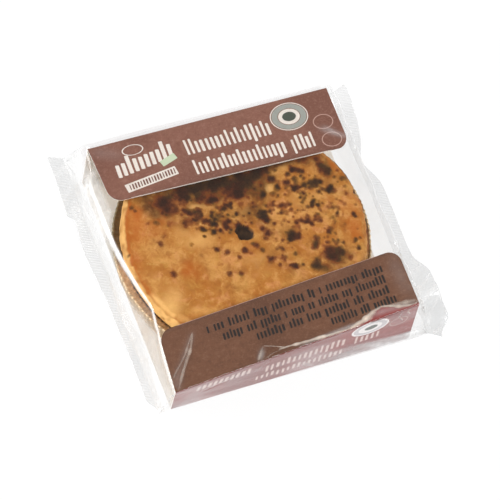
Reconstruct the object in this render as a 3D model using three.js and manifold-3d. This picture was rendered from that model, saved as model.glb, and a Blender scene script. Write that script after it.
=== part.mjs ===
// Individual baked pie in a pleated foil tray, held by a folded card sleeve and sealed in a
// clear flow-wrap bag. Millimetres, +Z up. The origin is the centre of the sleeve's base on the
// surface it rests on; +X runs along the folds to the right, +Y from the near wall to the far one.
import * as THREE from 'three';
import { mergeVertices } from 'three/addons/utils/BufferGeometryUtils.js';
import Module from 'manifold-3d';

// ---- driving dimensions -------------------------------------------------------------------
const GAP = 0.3;                  // air left between neighbouring pieces

// Pie and tray stand a little left of the sleeve's middle, so the tray's rim shows past its end.
const PIE_X = -3.3;
const PIE_Y = 0;

const TRAY_FLOOR_Z = 0.8;         // underside of the foil, on the card
const FOIL = 0.5;                 // wall with its crushed pleats
const TRAY_BASE_R = 53.0;
const TRAY_WALL_R = 57.0;         // outside, just under the rim
const TRAY_RIM_R = 58.3;
const TRAY_RIM_Z = 25.5;
const RIM_BEAD = 1.4;             // height and width of the rolled rim
const PLEATS = 72;
const PLEAT_DEPTH = 0.35;

const LID_Z = 32.0;               // top of the baked lid
const LID_R = 55.2;               // where the lid turns down
const CRUST_R = 57.5;             // fattest place of the crust's side, above the rim
const LIP = 0.12;                 // the lid's edge stands this much proud
const VENT_DEPTH = 2.0;
const VENT_X = PIE_X - 0.9;
const VENT_Y = PIE_Y + 0.7;
const VENT_FLOOR = 0.85;          // the hole's floor as a share of its outline
// The hole's uneven outline, from its centre.
const VENT_OUTLINE = [
  [3.7, 0.3], [2.1, 2.3], [0.2, 4.1], [-2.1, 4.3], [-4.1, 1.6], [-3.6, -0.4], [-3.4, -3.0],
  [-1.4, -3.5], [0.9, -4.3], [2.9, -4.0], [3.9, -2.0],
];

const CARD = 0.5;                 // card thickness
const FLAP_CORNER_R = 6;
const FOLD_R = 1.0;
// The sleeve's corners, seen along X: left end and right end of each edge. The film's pull has
// skewed the folds, so each end is stated.
const SLEEVE = {
  nearEdge: [[-59.3, -34.6, 33.4], [59.1, -28.4, 33.4]],
  nearFold: [[-61.2, -63.6, 30.5], [58.3, -57.8, 36.0]],
  nearBase: [[-58.3, -59.5, 0], [58.3, -59.5, 0]],
  farBase: [[-58.3, 59.5, 0], [58.3, 59.5, 0]],
  farFold: [[-59.4, 59.7, 35.7], [58.0, 58.6, 32.0]],
  farEdge: [[-57.3, 31.7, 33.5], [57.6, 26.7, 33.3]],
};

const FILM_FIN = 1.0;             // thickness of the crimped end seals
const SEAL_Z = 8;                 // height of the seals above the base
const LEFT_SEAL_IN = -65.2;
const LEFT_SEAL_OUT = -69.4;
const RIGHT_SEAL_IN = 65.5;
const RIGHT_SEAL_OUT = 72.8;
const LEFT_SHOULDER = -60.8;      // where the film turns down at the left end
const RIGHT_SHOULDER = 60.6;
const FAR_SLACK_Y = 62.5;         // loose film behind the far wall
const FAR_SLACK_MORE = 2.3;       // and how much further it stands at the left

// ---- helpers --------------------------------------------------------------------------------
const lerp = (a, b, t) => a + (b - a) * t;
const lerp3 = (a, b, t) => a.map((v, i) => lerp(v, b[i], t));
const bump = (d, width) => Math.exp(-((d / width) ** 2));
const smooth = (from, to, v) => THREE.MathUtils.smoothstep((v - from) / (to - from), 0, 1);

// Straight-line interpolation through [place, value] pairs.
function along(pairs, v) {
  const last = pairs.length - 1;
  if (v <= pairs[0][0]) return pairs[0][1];
  for (let i = 0; i < last; i++) {
    const [[v0, a], [v1, b]] = [pairs[i], pairs[i + 1]];
    if (v <= v1) return lerp(a, b, (v - v0) / (v1 - v0));
  }
  return pairs[last][1];
}

// A closed body from points and triangles, turned so that its faces point out.
function bodyGeometry(points, triangles) {
  let volume = 0;
  for (const [a, b, c] of triangles) {
    const [p, q, r] = [points[a], points[b], points[c]];
    volume += p[0] * (q[1] * r[2] - q[2] * r[1]) + p[1] * (q[2] * r[0] - q[0] * r[2])
      + p[2] * (q[0] * r[1] - q[1] * r[0]);
  }
  const out = volume > 0 ? triangles : triangles.map(([a, b, c]) => [a, c, b]);
  const geometry = new THREE.BufferGeometry();
  geometry.setAttribute('position', new THREE.Float32BufferAttribute(points.flat(), 3));
  geometry.setIndex(out.flat());
  return geometry;
}

// Rings of equal count, stacked from one pole to the other.
function ringBody(firstPole, rings, lastPole) {
  const n = rings[0].length;
  const points = [firstPole, ...rings.flat(), lastPole];
  const triangles = [];
  const id = (ring, i) => 1 + ring * n + (i % n);
  const end = points.length - 1;
  for (let i = 0; i < n; i++) {
    triangles.push([0, id(0, i), id(0, i + 1)]);
    for (let r = 0; r + 1 < rings.length; r++) {
      triangles.push([id(r, i), id(r + 1, i), id(r + 1, i + 1)]);
      triangles.push([id(r, i), id(r + 1, i + 1), id(r, i + 1)]);
    }
    triangles.push([end, id(rings.length - 1, i + 1), id(rings.length - 1, i)]);
  }
  return bodyGeometry(points, triangles);
}

// Two sheets of points on the same grid, joined round their border into a slab.
function slabBody(sheetA, sheetB) {
  const nu = sheetA.length;
  const nv = sheetA[0].length;
  const points = [...sheetA.flat(), ...sheetB.flat()];
  const a = (u, v) => u * nv + v;
  const b = (u, v) => nu * nv + a(u, v);
  const triangles = [];
  const quad = (p, q, r, s) => triangles.push([p, q, r], [p, r, s]);
  for (let u = 0; u + 1 < nu; u++) {
    for (let v = 0; v + 1 < nv; v++) {
      quad(a(u, v), a(u + 1, v), a(u + 1, v + 1), a(u, v + 1));
      quad(b(u, v), b(u, v + 1), b(u + 1, v + 1), b(u + 1, v));
    }
    quad(a(u, 0), b(u, 0), b(u + 1, 0), a(u + 1, 0));
    quad(a(u, nv - 1), a(u + 1, nv - 1), b(u + 1, nv - 1), b(u, nv - 1));
  }
  for (let v = 0; v + 1 < nv; v++) {
    quad(a(0, v), a(0, v + 1), b(0, v + 1), b(0, v));
    quad(a(nu - 1, v), b(nu - 1, v), b(nu - 1, v + 1), a(nu - 1, v + 1));
  }
  return bodyGeometry(points, triangles);
}

const wasm = await Module();
wasm.setup();

function solid(geometry) {
  const bare = geometry.clone();
  bare.deleteAttribute('normal');
  bare.deleteAttribute('uv');
  const merged = mergeVertices(bare, 1e-4);
  return new wasm.Manifold(new wasm.Mesh({
    numProp: 3,
    vertProperties: new Float32Array(merged.attributes.position.array),
    triVerts: new Uint32Array(merged.index.array),
  }));
}

function geometryOf(manifold) {
  const mesh = manifold.getMesh();
  const geometry = new THREE.BufferGeometry();
  geometry.setAttribute('position', new THREE.BufferAttribute(mesh.vertProperties, 3));
  geometry.setIndex(new THREE.BufferAttribute(mesh.triVerts, 1));
  return geometry;
}

// ---- foil tray --------------------------------------------------------------------------------
// Radius of the wall's outside at a height, between the base and the rim.
const wallRadius = (z) => lerp(TRAY_BASE_R, TRAY_WALL_R,
  (z - TRAY_FLOOR_Z) / (TRAY_RIM_Z - RIM_BEAD - TRAY_FLOOR_Z));

function ring(count, radiusAt, zAt) {
  return Array.from({ length: count }, (_, i) => {
    const angle = (i / count) * 2 * Math.PI;
    const r = radiusAt(angle, i);
    return [PIE_X + r * Math.cos(angle), PIE_Y + r * Math.sin(angle), zAt(angle, r)];
  });
}

function foilTray() {
  const count = PLEATS * 2;
  const pleated = (r, share) => (_, i) => r + (i % 2 ? PLEAT_DEPTH : -PLEAT_DEPTH) * share;
  const level = (z) => () => z;
  const under = TRAY_RIM_Z - RIM_BEAD;
  const foot = TRAY_FLOOR_Z + 1.2;
  const middle = (TRAY_FLOOR_Z + under) / 2;
  const inside = TRAY_FLOOR_Z + FOIL;
  const profile = [
    [TRAY_BASE_R - 0.6, TRAY_FLOOR_Z, 0],
    [wallRadius(foot), foot, 0.6],
    [wallRadius(middle), middle, 1],
    [wallRadius(under), under, 0.5],
    [TRAY_RIM_R, under + 0.3, 0],
    [TRAY_RIM_R, TRAY_RIM_Z - 0.3, 0],
    [TRAY_RIM_R - 0.5, TRAY_RIM_Z, 0],
    [TRAY_WALL_R - 0.1, TRAY_RIM_Z - 0.5, 0],
    [wallRadius(under) - FOIL, under, 0.5],
    [wallRadius(middle) - FOIL, middle, 1],
    [wallRadius(foot) - FOIL, foot, 0.6],
    [TRAY_BASE_R - 0.6 - FOIL, inside, 0],
  ];
  const rings = profile.map(([r, z, share]) => ring(count, pleated(r, share), level(z)));
  return ringBody([PIE_X, PIE_Y, TRAY_FLOOR_Z], rings, [PIE_X, PIE_Y, inside]);
}

// ---- pie ----------------------------------------------------------------------------------------
// The lid swells and sinks a little, as a baked lid does, and its edge isn't a true circle.
const lidSwell = (x, y) => 0.1 * Math.sin(0.11 * x + 0.7) * Math.cos(0.09 * y)
  + 0.07 * Math.sin(0.19 * x - 0.23 * y);
const edgeWobble = (angle) => 0.2 * Math.sin(3 * angle + 1) + 0.12 * Math.sin(7 * angle)
  + 0.08 * Math.sin(13 * angle + 2);

function pieCrust() {
  const count = 96;
  const side = FOIL + PLEAT_DEPTH + GAP;
  const under = TRAY_RIM_Z - RIM_BEAD;
  const floor = TRAY_FLOOR_Z + FOIL + GAP;
  const profile = [
    // radius, height, share of the edge's wobble, share of the lid's swell
    [TRAY_BASE_R - 1.8 - side, floor, 0, 0],
    [wallRadius(floor + 1.6) - side, floor + 1.6, 0, 0],
    [wallRadius(under) - side, under, 0, 0],
    [CRUST_R - 0.6, TRAY_RIM_Z + GAP + 0.1, 0.4, 0],
    [CRUST_R - 0.1, TRAY_RIM_Z + 1.6, 0.8, 0],
    [CRUST_R, LID_Z - 3.2, 1, 0],
    [CRUST_R - 0.6, LID_Z - 1.4, 1, 0],
    [LID_R + 0.6, LID_Z - 0.3, 1, 0.4],
    [LID_R - 0.6, LID_Z + LIP, 1, 0.6],
    [LID_R - 2.6, LID_Z, 0.6, 1],
    [48, LID_Z, 0.3, 1],
    [40, LID_Z, 0, 1],
    [31, LID_Z, 0, 1],
    [22, LID_Z, 0, 1],
    [13, LID_Z, 0, 1],
    [6, LID_Z, 0, 1],
  ];
  const rings = profile.map(([r, z, wobble, swell]) => ring(
    count,
    (angle) => r + wobble * edgeWobble(angle),
    (angle, rr) => z + swell * lidSwell(rr * Math.cos(angle), rr * Math.sin(angle)),
  ));
  const crust = ringBody([PIE_X, PIE_Y, floor], rings, [PIE_X, PIE_Y, LID_Z + lidSwell(0, 0)]);
  const outline = (share, z) => VENT_OUTLINE.map(
    ([x, y]) => [VENT_X + x * share, VENT_Y + y * share, LID_Z + z]);
  const hole = ringBody([VENT_X, VENT_Y, LID_Z - VENT_DEPTH], [
    outline(VENT_FLOOR, -VENT_DEPTH),
    outline(1, 0),
    outline(1, VENT_DEPTH),
  ], [VENT_X, VENT_Y, LID_Z + VENT_DEPTH]);
  return geometryOf(solid(crust).subtract(solid(hole)));
}

// ---- card sleeve ----------------------------------------------------------------------------------
const edgeAt = (name, s) => lerp3(SLEEVE[name][0], SLEEVE[name][1], s);

// Share of the flap's full depth that is left at a station, for its rounded corners.
function flapShare(s) {
  const length = SLEEVE.nearFold[1][0] - SLEEVE.nearFold[0][0];
  const fromEnd = Math.min(s, 1 - s) * length;
  if (fromEnd >= FLAP_CORNER_R) return 1;
  const depth = Math.abs(SLEEVE.nearEdge[0][1] - SLEEVE.nearFold[0][1]);
  const missing = FLAP_CORNER_R - Math.sqrt(FLAP_CORNER_R ** 2 - (FLAP_CORNER_R - fromEnd) ** 2);
  return 1 - missing / depth;
}

// One cross-section of the sleeve's outer face, from the near flap's edge round to the far one's.
function sleeveSection(s) {
  const share = flapShare(s);
  const corner = (p, q, r) => {
    // a fold of small radius between the runs p-q and q-r
    const step = (from, to) => {
      const d = to.map((v, i) => v - from[i]);
      const length = Math.hypot(d[1], d[2]);
      return from.map((v, i) => v + (d[i] / length) * FOLD_R);
    };
    const [before, after] = [step(q, p), step(q, r)];
    const rounded = before.map((v, i) => (v + after[i]) / 4 + q[i] / 2);
    return [before, rounded, after];
  };
  const nearFold = edgeAt('nearFold', s);
  const farFold = edgeAt('farFold', s);
  const nearEdge = lerp3(nearFold, edgeAt('nearEdge', s), share);
  const farEdge = lerp3(farFold, edgeAt('farEdge', s), share);
  const nearBase = edgeAt('nearBase', s);
  const farBase = edgeAt('farBase', s);
  return [
    nearEdge,
    lerp3(nearEdge, nearFold, 0.5),
    ...corner(nearEdge, nearFold, nearBase),
    lerp3(nearFold, nearBase, 0.5),
    ...corner(nearFold, nearBase, farBase),
    ...corner(nearBase, farBase, farFold),
    lerp3(farFold, farBase, 0.5),
    ...corner(farBase, farFold, farEdge),
    lerp3(farEdge, farFold, 0.5),
    farEdge,
  ];
}

// The same section moved inwards (or outwards, if negative) by a distance, in the Y-Z plane.
function offsetSection(section, distance) {
  return section.map((p, i) => {
    const before = section[Math.max(i - 1, 0)];
    const after = section[Math.min(i + 1, section.length - 1)];
    const unit = (from, to) => {
      const d = [to[1] - from[1], to[2] - from[2]];
      const length = Math.hypot(...d);
      return length > 0 ? d.map((v) => v / length) : null;
    };
    const [t0, t1] = [unit(before, p), unit(p, after)];
    const [a, b] = [t0 ?? t1, t1 ?? t0];
    const mean = [(a[0] + b[0]) / 2, (a[1] + b[1]) / 2];
    const square = mean[0] ** 2 + mean[1] ** 2;
    return [p[0], p[1] - (mean[1] / square) * distance, p[2] + (mean[0] / square) * distance];
  });
}

// Stations along the sleeve, closer together at the rounded corners.
const END_STEPS = [0, 0.004, 0.013, 0.028, 0.05];
const STATIONS = [...END_STEPS, 0.2, 0.35, 0.5, 0.65, 0.8, ...END_STEPS.map((v) => 1 - v).reverse()];

function sleeveShell(outward, inward, endReach) {
  const sheet = (distance) => STATIONS.map((s) => offsetSection(sleeveSection(s), distance)
    .map((p) => [p[0] + (s === 0 ? -endReach : 0) + (s === 1 ? endReach : 0), p[1], p[2]]));
  return slabBody(sheet(-outward), sheet(inward));
}

// All the space above one flap, from inside the card up.
function spaceAboveFlap(fold, edge, top) {
  const ends = [-0.01, 1.01];
  const reach = [-GAP / 29, 1 + GAP / 29];
  const lower = ends.map((s) => reach.map((t) => {
    const p = lerp3(edgeAt(fold, s), edgeAt(edge, s), t);
    return [p[0], p[1], p[2] - CARD / 2];
  }));
  const upper = lower.map((row) => row.map(([x, y]) => [x, y, top]));
  return slabBody(upper, lower);
}

// ---- film bag -------------------------------------------------------------------------------------
// The closed bag as a solid: both ends with their flat crimped seals, the loose film behind the
// far wall, and the inside of the bag round the tray. On the flaps, the walls, the base and the
// lid the film lies tight and is too thin to be a solid.
const leftShoulder = (y) => LEFT_SHOULDER - 2.8 * bump(y - 12, 24) - 1.6 * smooth(-38, -60, y);
const rightShoulder = (y) => RIGHT_SHOULDER + 0.6 * smooth(20, 55, y);
const leftSealEdge = (y) => LEFT_SEAL_OUT - 2.3 * bump(y - 20, 16) - 2.9 * smooth(39, 43, y)
  + 4 * smooth(-54, -62, y);
const rightSealEdge = (y) => RIGHT_SEAL_OUT - 4.5 * bump(y - 28, 9) + 1.2 * smooth(40, 56, y)
  + 5.4 * smooth(-24, -34, y) - 7 * smooth(-56, -66, y);
const sealWave = (y) => SEAL_Z + 0.8 * Math.sin(y * 0.13) + 2.2 * smooth(40, 70, y);
const earWave = (y) => sealWave(y) + 1.6 * Math.sin(y * 0.55) * smooth(-24, -40, y);
const farSlack = (x) => FAR_SLACK_Y + FAR_SLACK_MORE * smooth(40, -40, x);

// Height of the taut film over the pack, from the near fold to the far fold.
function tautTop(x, y) {
  const s = (x - SLEEVE.nearFold[0][0]) / (SLEEVE.nearFold[1][0] - SLEEVE.nearFold[0][0]);
  const rows = ['nearFold', 'nearEdge', 'farEdge', 'farFold'];
  const pairs = rows.map((name) => edgeAt(name, s).slice(1));
  return along([...pairs, [farSlack(x) + 1, pairs[3][1] - 2.5]], y) + 0.1;
}

function filmForm() {
  // each station: x, near end, far end, top and bottom at a place along the end
  const stations = [
    { x: leftSealEdge, near: -62.2, far: 72.2, mid: sealWave, thick: FILM_FIN },
    { x: (y) => LEFT_SEAL_IN - 0.6 * smooth(20, -20, y), near: -62.6, far: 69, mid: sealWave,
      thick: FILM_FIN },
    { x: (y) => leftShoulder(y) - 1.0, near: -64.2, far: 65.5, drop: 7, bottom: 2 },
    { x: leftShoulder, near: -64.4, far: 64.9, drop: 0.3, bottom: 0.4 },
    { x: () => -61.7, near: -64.4, far: farSlack(-60), drop: 0, bottom: 0 },
    { x: () => -61.6, near: -58, far: farSlack(-60), drop: 0, bottom: 0 },
    ...[-45, -30, -15, 0, 15, 30, 45].map((x) => (
      { x: () => x, near: -58, far: farSlack(x), drop: 0, bottom: 0 })),
    { x: () => 59.6, near: -57, far: farSlack(60), drop: 0, bottom: 0 },
    { x: () => 59.7, near: -59.9, far: farSlack(60), drop: 0, bottom: 0 },
    { x: rightShoulder, near: -60.2, far: 62.4, drop: 0.3, bottom: 0.4 },
    { x: (y) => rightShoulder(y) + 1.6, near: -60.6, far: 62.6, drop: 9, bottom: 2 },
    { x: () => RIGHT_SEAL_IN, near: -62, far: 64, mid: earWave, thick: FILM_FIN },
    { x: (y) => (RIGHT_SEAL_IN + rightSealEdge(y)) / 2, near: -65, far: 66, mid: earWave,
      thick: FILM_FIN },
    { x: rightSealEdge, near: -66, far: 67, mid: earWave, thick: FILM_FIN },
  ];
  const rows = 34;
  const grid = stations.map((st) => Array.from({ length: rows + 1 }, (_, j) => {
    const y = lerp(st.near, st.far, j / rows);
    const x = st.x(y);
    if (st.mid) return [x, y, st.mid(y) + st.thick / 2, st.mid(y) - st.thick / 2];
    return [x, y, tautTop(x, y) - st.drop, st.bottom];
  }));
  const top = grid.map((row) => row.map(([x, y, high]) => [x, y, high]));
  const bottom = grid.map((row) => row.map(([x, y, , low]) => [x, y, low]));
  return slabBody(top, bottom);
}

// The tray and pie with a gap round them, and all the space above the lid.
function contentsForm() {
  const sky = 60;
  const profile = [
    [0, -1], [TRAY_BASE_R + PLEAT_DEPTH + GAP, -1],
    [TRAY_WALL_R + PLEAT_DEPTH + GAP, TRAY_RIM_Z - RIM_BEAD - 0.6],
    [TRAY_RIM_R + GAP, TRAY_RIM_Z - RIM_BEAD], [TRAY_RIM_R + GAP, sky], [0, sky],
  ].map(([r, z]) => new THREE.Vector2(r, z));
  const form = new THREE.LatheGeometry(profile, 72);
  form.rotateX(Math.PI / 2);
  form.translate(PIE_X, PIE_Y, 0);
  return form;
}

function filmBag() {
  const sky = 60;
  const cutters = [
    sleeveShell(GAP, CARD + GAP, GAP),
    spaceAboveFlap('nearFold', 'nearEdge', sky),
    spaceAboveFlap('farFold', 'farEdge', sky),
    contentsForm(),
  ].map(solid);
  const bag = cutters.reduce((rest, cutter) => rest.subtract(cutter), solid(filmForm()));
  // scraps left at the folds are dropped: the bag is the largest piece
  const pieces = bag.decompose().sort((a, b) => b.volume() - a.volume());
  return geometryOf(pieces[0]);
}

// ---- the pack ---------------------------------------------------------------------------------------
const pack = new THREE.Group();

function addMesh(name, geometry, color, roughness, metalness) {
  const material = new THREE.MeshStandardMaterial({ color, roughness, metalness });
  const mesh = new THREE.Mesh(geometry, material);
  mesh.name = name;
  pack.add(mesh);
}

addMesh('pie_crust', pieCrust(), 0xc98542, 0.7, 0);
addMesh('foil_tray', foilTray(), 0x9a917f, 0.35, 1);
addMesh('card_sleeve', sleeveShell(0, CARD, 0), 0x80594b, 0.8, 0);
addMesh('film_bag', filmBag(), 0xf0f0f0, 0.1, 0);

export default pack;
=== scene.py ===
import bpy
import numpy as np
from mathutils import Matrix


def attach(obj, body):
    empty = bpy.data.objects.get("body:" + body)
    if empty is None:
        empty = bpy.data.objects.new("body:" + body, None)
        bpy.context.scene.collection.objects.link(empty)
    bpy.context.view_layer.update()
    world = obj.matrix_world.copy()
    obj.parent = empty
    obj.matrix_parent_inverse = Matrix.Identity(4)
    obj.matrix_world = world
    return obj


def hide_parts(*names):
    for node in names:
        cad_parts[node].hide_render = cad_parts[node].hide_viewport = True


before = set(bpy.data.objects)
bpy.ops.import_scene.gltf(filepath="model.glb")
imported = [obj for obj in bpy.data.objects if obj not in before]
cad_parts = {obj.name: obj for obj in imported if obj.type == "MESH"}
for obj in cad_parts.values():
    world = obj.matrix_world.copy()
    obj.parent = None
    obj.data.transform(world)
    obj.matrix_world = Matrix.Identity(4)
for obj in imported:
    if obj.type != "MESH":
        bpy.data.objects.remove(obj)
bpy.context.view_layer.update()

MM = 0.001

# ---- sizes that the solids share -------------------------
PIE_X, PIE_Y = -3.3, 0.0           # centre of the tray and the pie
TRAY_FLOOR_Z = 0.8                 # underside of the tray
TRAY_BASE_R = 53.0
TRAY_RIM_R = 58.3                  # outside of the rim
TRAY_RIM_Z = 25.5                  # top of the rim
RIM_BEAD = 1.4                     # height of the rolled rim
UNDER_RIM_Z = TRAY_RIM_Z - RIM_BEAD
LID_Z = 32.0                       # top of the lid
LID_R = 55.2                       # where the lid turns down
CRUST_R = 57.5                     # of the crust's side above the rim
VENT_DEPTH = 2.0
VENT_PLACE = (-0.9, 0.7)           # from the lid's centre
VENT_OUTLINE = [                   # from the vent's own centre
    (3.7, 0.3), (2.1, 2.3), (0.2, 4.1), (-2.1, 4.3), (-4.1, 1.6), (-3.6, -0.4), (-3.4, -3.0),
    (-1.4, -3.5), (0.9, -4.3), (2.9, -4.0), (3.9, -2.0)]

CARD = 0.5                         # thickness of the card
FLAP_CORNER_R = 6.0
FOLD_R = 1.0
SLEEVE = {                         # left end, right end of each edge
    "near_edge": ((-59.3, -34.6, 33.4), (59.1, -28.4, 33.4)),
    "near_fold": ((-61.2, -63.6, 30.5), (58.3, -57.8, 36.0)),
    "near_base": ((-58.3, -59.5, 0.0), (58.3, -59.5, 0.0)),
    "far_base": ((-58.3, 59.5, 0.0), (58.3, 59.5, 0.0)),
    "far_fold": ((-59.4, 59.7, 35.7), (58.0, 58.6, 32.0)),
    "far_edge": ((-57.3, 31.7, 33.5), (57.6, 26.7, 33.3)),
}
SLEEVE = {name: np.array(ends, float) for name, ends in SLEEVE.items()}

SEAL_Z = 8.0                       # height of the seals' middle
LEFT_SEAL_IN = -65.2               # x of each seal's inner edge and cut edge
LEFT_SEAL_OUT = -69.4
RIGHT_SEAL_IN = 65.5
RIGHT_SEAL_OUT = 72.8
RIGHT_SHOULDER = 60.6              # x of the film's fold over the pack's right end

# ---- sizes that only the looks have ----------------------
FOIL_THIN = 0.16                   # thickness of the pleated foil as drawn
PLEATS = 140                       # round the tray, each drawn with so many points
PLEAT_POINTS = 6
PLEAT_DEPTH = 0.42
RIM_STRETCH = 0.022                # the soft rim is pulled oval along the sleeve, to the left
RIM_SHIFT = 1.4                    # of the rim to the left
FILM_OFF = 0.32                    # the film stands this far off the card
FAR_SLACK_Y = 60.4                 # y of the film behind the far wall, nearer than the solid's
FAR_SLACK_MORE = 1.6               # and what its left end adds to it
INK_LIFT = 0.05                    # of the ink off the card
SEAL_RIB = 1.4                     # pitch of the crimped ribs
SEAL_LAYER = 0.09                  # each layer of a seal lies this far from its middle
FLOOR_Z = -0.16                    # the studio's floor, just under the film
CRUST_INSET = 1.3                  # of the crust inside the foil's outside
FLAT_R = 30.0                      # a ring of points in the flat base of tray and pie
PIE_POINTS = 600                   # round each ring of the pie
ART_LENGTH = 118.0                 # the print is laid out on flaps 118 by 29 mm
ART_DEPTH = 29.0
WALL_DEPTH = 33.0                  # and on a near wall 33 mm deep

# ---- camera, fitted to the photograph --------------------
VIEW_AZIMUTH, VIEW_ELEVATION, VIEW_ROLL = -36.09, 63.94, 17.11  # degrees
VIEW_DISTANCE = 2141.0
VIEW_SIDE, VIEW_RISE = 2.475, 4.81  # the camera stands this far right of and above the origin
LENS_PIXELS, FRAME_PIXELS, SENSOR = 4662.0, 500.0, 36.0
TO_CAMERA = (-0.259, -0.355, 0.898)  # direction from the pack


def camera_axes():
    """Right, up and back of the camera as rows."""
    azimuth, elevation, roll = np.radians((VIEW_AZIMUTH, VIEW_ELEVATION, VIEW_ROLL))
    back = np.array([np.sin(azimuth) * np.cos(elevation),
                     -np.cos(azimuth) * np.cos(elevation), np.sin(elevation)])
    right = np.cross((0, 0, 1), back)
    right /= np.linalg.norm(right)
    up = np.cross(back, right)
    return np.array([np.cos(roll) * right + np.sin(roll) * up,
                     -np.sin(roll) * right + np.cos(roll) * up, back])


def placed(right, up, back, place):
    """The matrix of an object with those axes at a place in metres."""
    matrix = np.eye(4)
    matrix[:3] = np.column_stack([right, up, back, place])
    return Matrix(matrix.tolist())


def add_camera():
    """The camera that took the photograph, as the fit found it."""
    right, up, back = camera_axes()
    data = bpy.data.cameras.new("camera")
    data.sensor_width = SENSOR
    data.lens = LENS_PIXELS / FRAME_PIXELS * SENSOR
    data.clip_start, data.clip_end = 0.05, 20
    camera = bpy.data.objects.new("camera", data)
    bpy.context.scene.collection.objects.link(camera)
    place = back * VIEW_DISTANCE + right * VIEW_SIDE + up * VIEW_RISE
    camera.matrix_world = placed(right, up, back, place * MM)
    bpy.context.scene.camera = camera


# ---- numbers ---------------------------------------------
LATTICE = 256                      # cells after which the noise repeats


def smooth(start, end, value):
    """0 before the start and 1 after the end, eased between them."""
    t = np.clip((np.asarray(value, float) - start) / (end - start), 0, 1)
    return t * t * (3 - 2 * t)


def bump(distance, width):
    """A bell of height 1."""
    return np.exp(-((np.asarray(distance, float) / width) ** 2))


def unit(vectors):
    """The vectors with length 1."""
    return vectors / np.maximum(np.linalg.norm(vectors, axis=-1, keepdims=True), 1e-12)


def lattice_cells(u, v, seed):
    """The places within their cells, and the random values at the four corners of the cells."""
    table = np.random.default_rng(seed).random((LATTICE, LATTICE)) * 2 - 1
    i, j = np.floor(u).astype(int), np.floor(v).astype(int)
    corners = [table[(i + di) % LATTICE, (j + dj) % LATTICE] for dj in (0, 1) for di in (0, 1)]
    return u - i, v - j, corners


def soft_noise(x, y, cell, seed):
    """Smooth noise from -1 to 1 with hills about one cell across."""
    u, v = np.asarray(x) / cell + 37.2, np.asarray(y) / cell + 51.7
    f, g, (a, b, c, d) = lattice_cells(u, v, seed)
    f, g = f * f * (3 - 2 * f), g * g * (3 - 2 * g)
    return a * (1 - f) * (1 - g) + b * f * (1 - g) + c * (1 - f) * g + d * f * g


def rough_noise(x, y, cell, seed, octaves=4):
    """Soft noise with finer and weaker noise over it."""
    total, size, share = 0.0, cell, 1.0
    for octave in range(octaves):
        total = total + share * soft_noise(x, y, size, seed + octave)
        size, share = size * 0.5, share * 0.55
    return total


def facet_noise(x, y, cell, seed, turn=0.0, stretch=1.0):
    """Flat triangles with sharp creases between them, as crumpled film has."""
    x, y = np.asarray(x, float), np.asarray(y, float)
    x = x + 0.35 * cell * soft_noise(x, y, 2.6 * cell, seed + 50)
    y = y + 0.35 * cell * soft_noise(x, y, 2.6 * cell, seed + 51)
    cos, sin = np.cos(turn), np.sin(turn)
    v = (y * cos - x * sin) / cell + 61.3
    u = (x * cos + y * sin) / (cell * stretch) + 0.5 * v + 43.1
    f, g, (a, b, c, d) = lattice_cells(u, v, seed)
    low = a + f * (b - a) + g * (c - a)
    high = d + (1 - f) * (c - d) + (1 - g) * (b - d)
    return np.where(f + g < 1, low, high)


# ---- meshes ----------------------------------------------
def grid_faces(rows, cols, first=0, wrap=False):
    """Quads of a grid of points, row after row; wrap joins the last column to the first."""
    r = np.arange(rows - 1)[:, None]
    c = np.arange(cols if wrap else cols - 1)[None, :]
    after = (c + 1) % cols
    quads = np.stack([r * cols + c, r * cols + after, (r + 1) * cols + after,
                      (r + 1) * cols + c], -1)
    return (first + quads).reshape(-1, 4)


def make_piece(name, points, faces, materials, face_slots=None, node=None):
    """A mesh object in the row frame that rides on the one body."""
    mesh = bpy.data.meshes.new(name)
    mesh.from_pydata((points.reshape(-1, 3) * MM).tolist(), [], faces.tolist())
    for material in materials:
        mesh.materials.append(material)
    if face_slots is not None:
        mesh.polygons.foreach_set("material_index", np.asarray(face_slots, np.int32))
    mesh.polygons.foreach_set("use_smooth", np.ones(len(mesh.polygons), bool))
    mesh.update()
    piece = bpy.data.objects.new(name, mesh)
    bpy.context.scene.collection.objects.link(piece)
    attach(piece, "root")
    if node:
        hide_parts(node)
    return piece


def add_shares(piece, **shares):
    """Numbers from 0 to 1 for each point of the mesh, for its material to read."""
    for name, values in shares.items():
        attribute = piece.data.attributes.new(name, "FLOAT", "POINT")
        attribute.data.foreach_set("value", np.clip(values.ravel(), 0, 1).astype(np.float32))


def grid_normals(grid):
    """Unit normals of a grid of points, on the side where row x column turns up."""
    return unit(np.cross(np.gradient(grid, axis=0), np.gradient(grid, axis=1)))


# ---- materials -------------------------------------------
def linear(red, green, blue):
    """A colour as a screen shows it, 0 to 255, as the linear colour of a material."""
    c = np.array([red, green, blue]) / 255
    c = np.where(c <= 0.04045, c / 12.92, ((c + 0.055) / 1.055) ** 2.4)
    return (*c.tolist(), 1.0)


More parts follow.
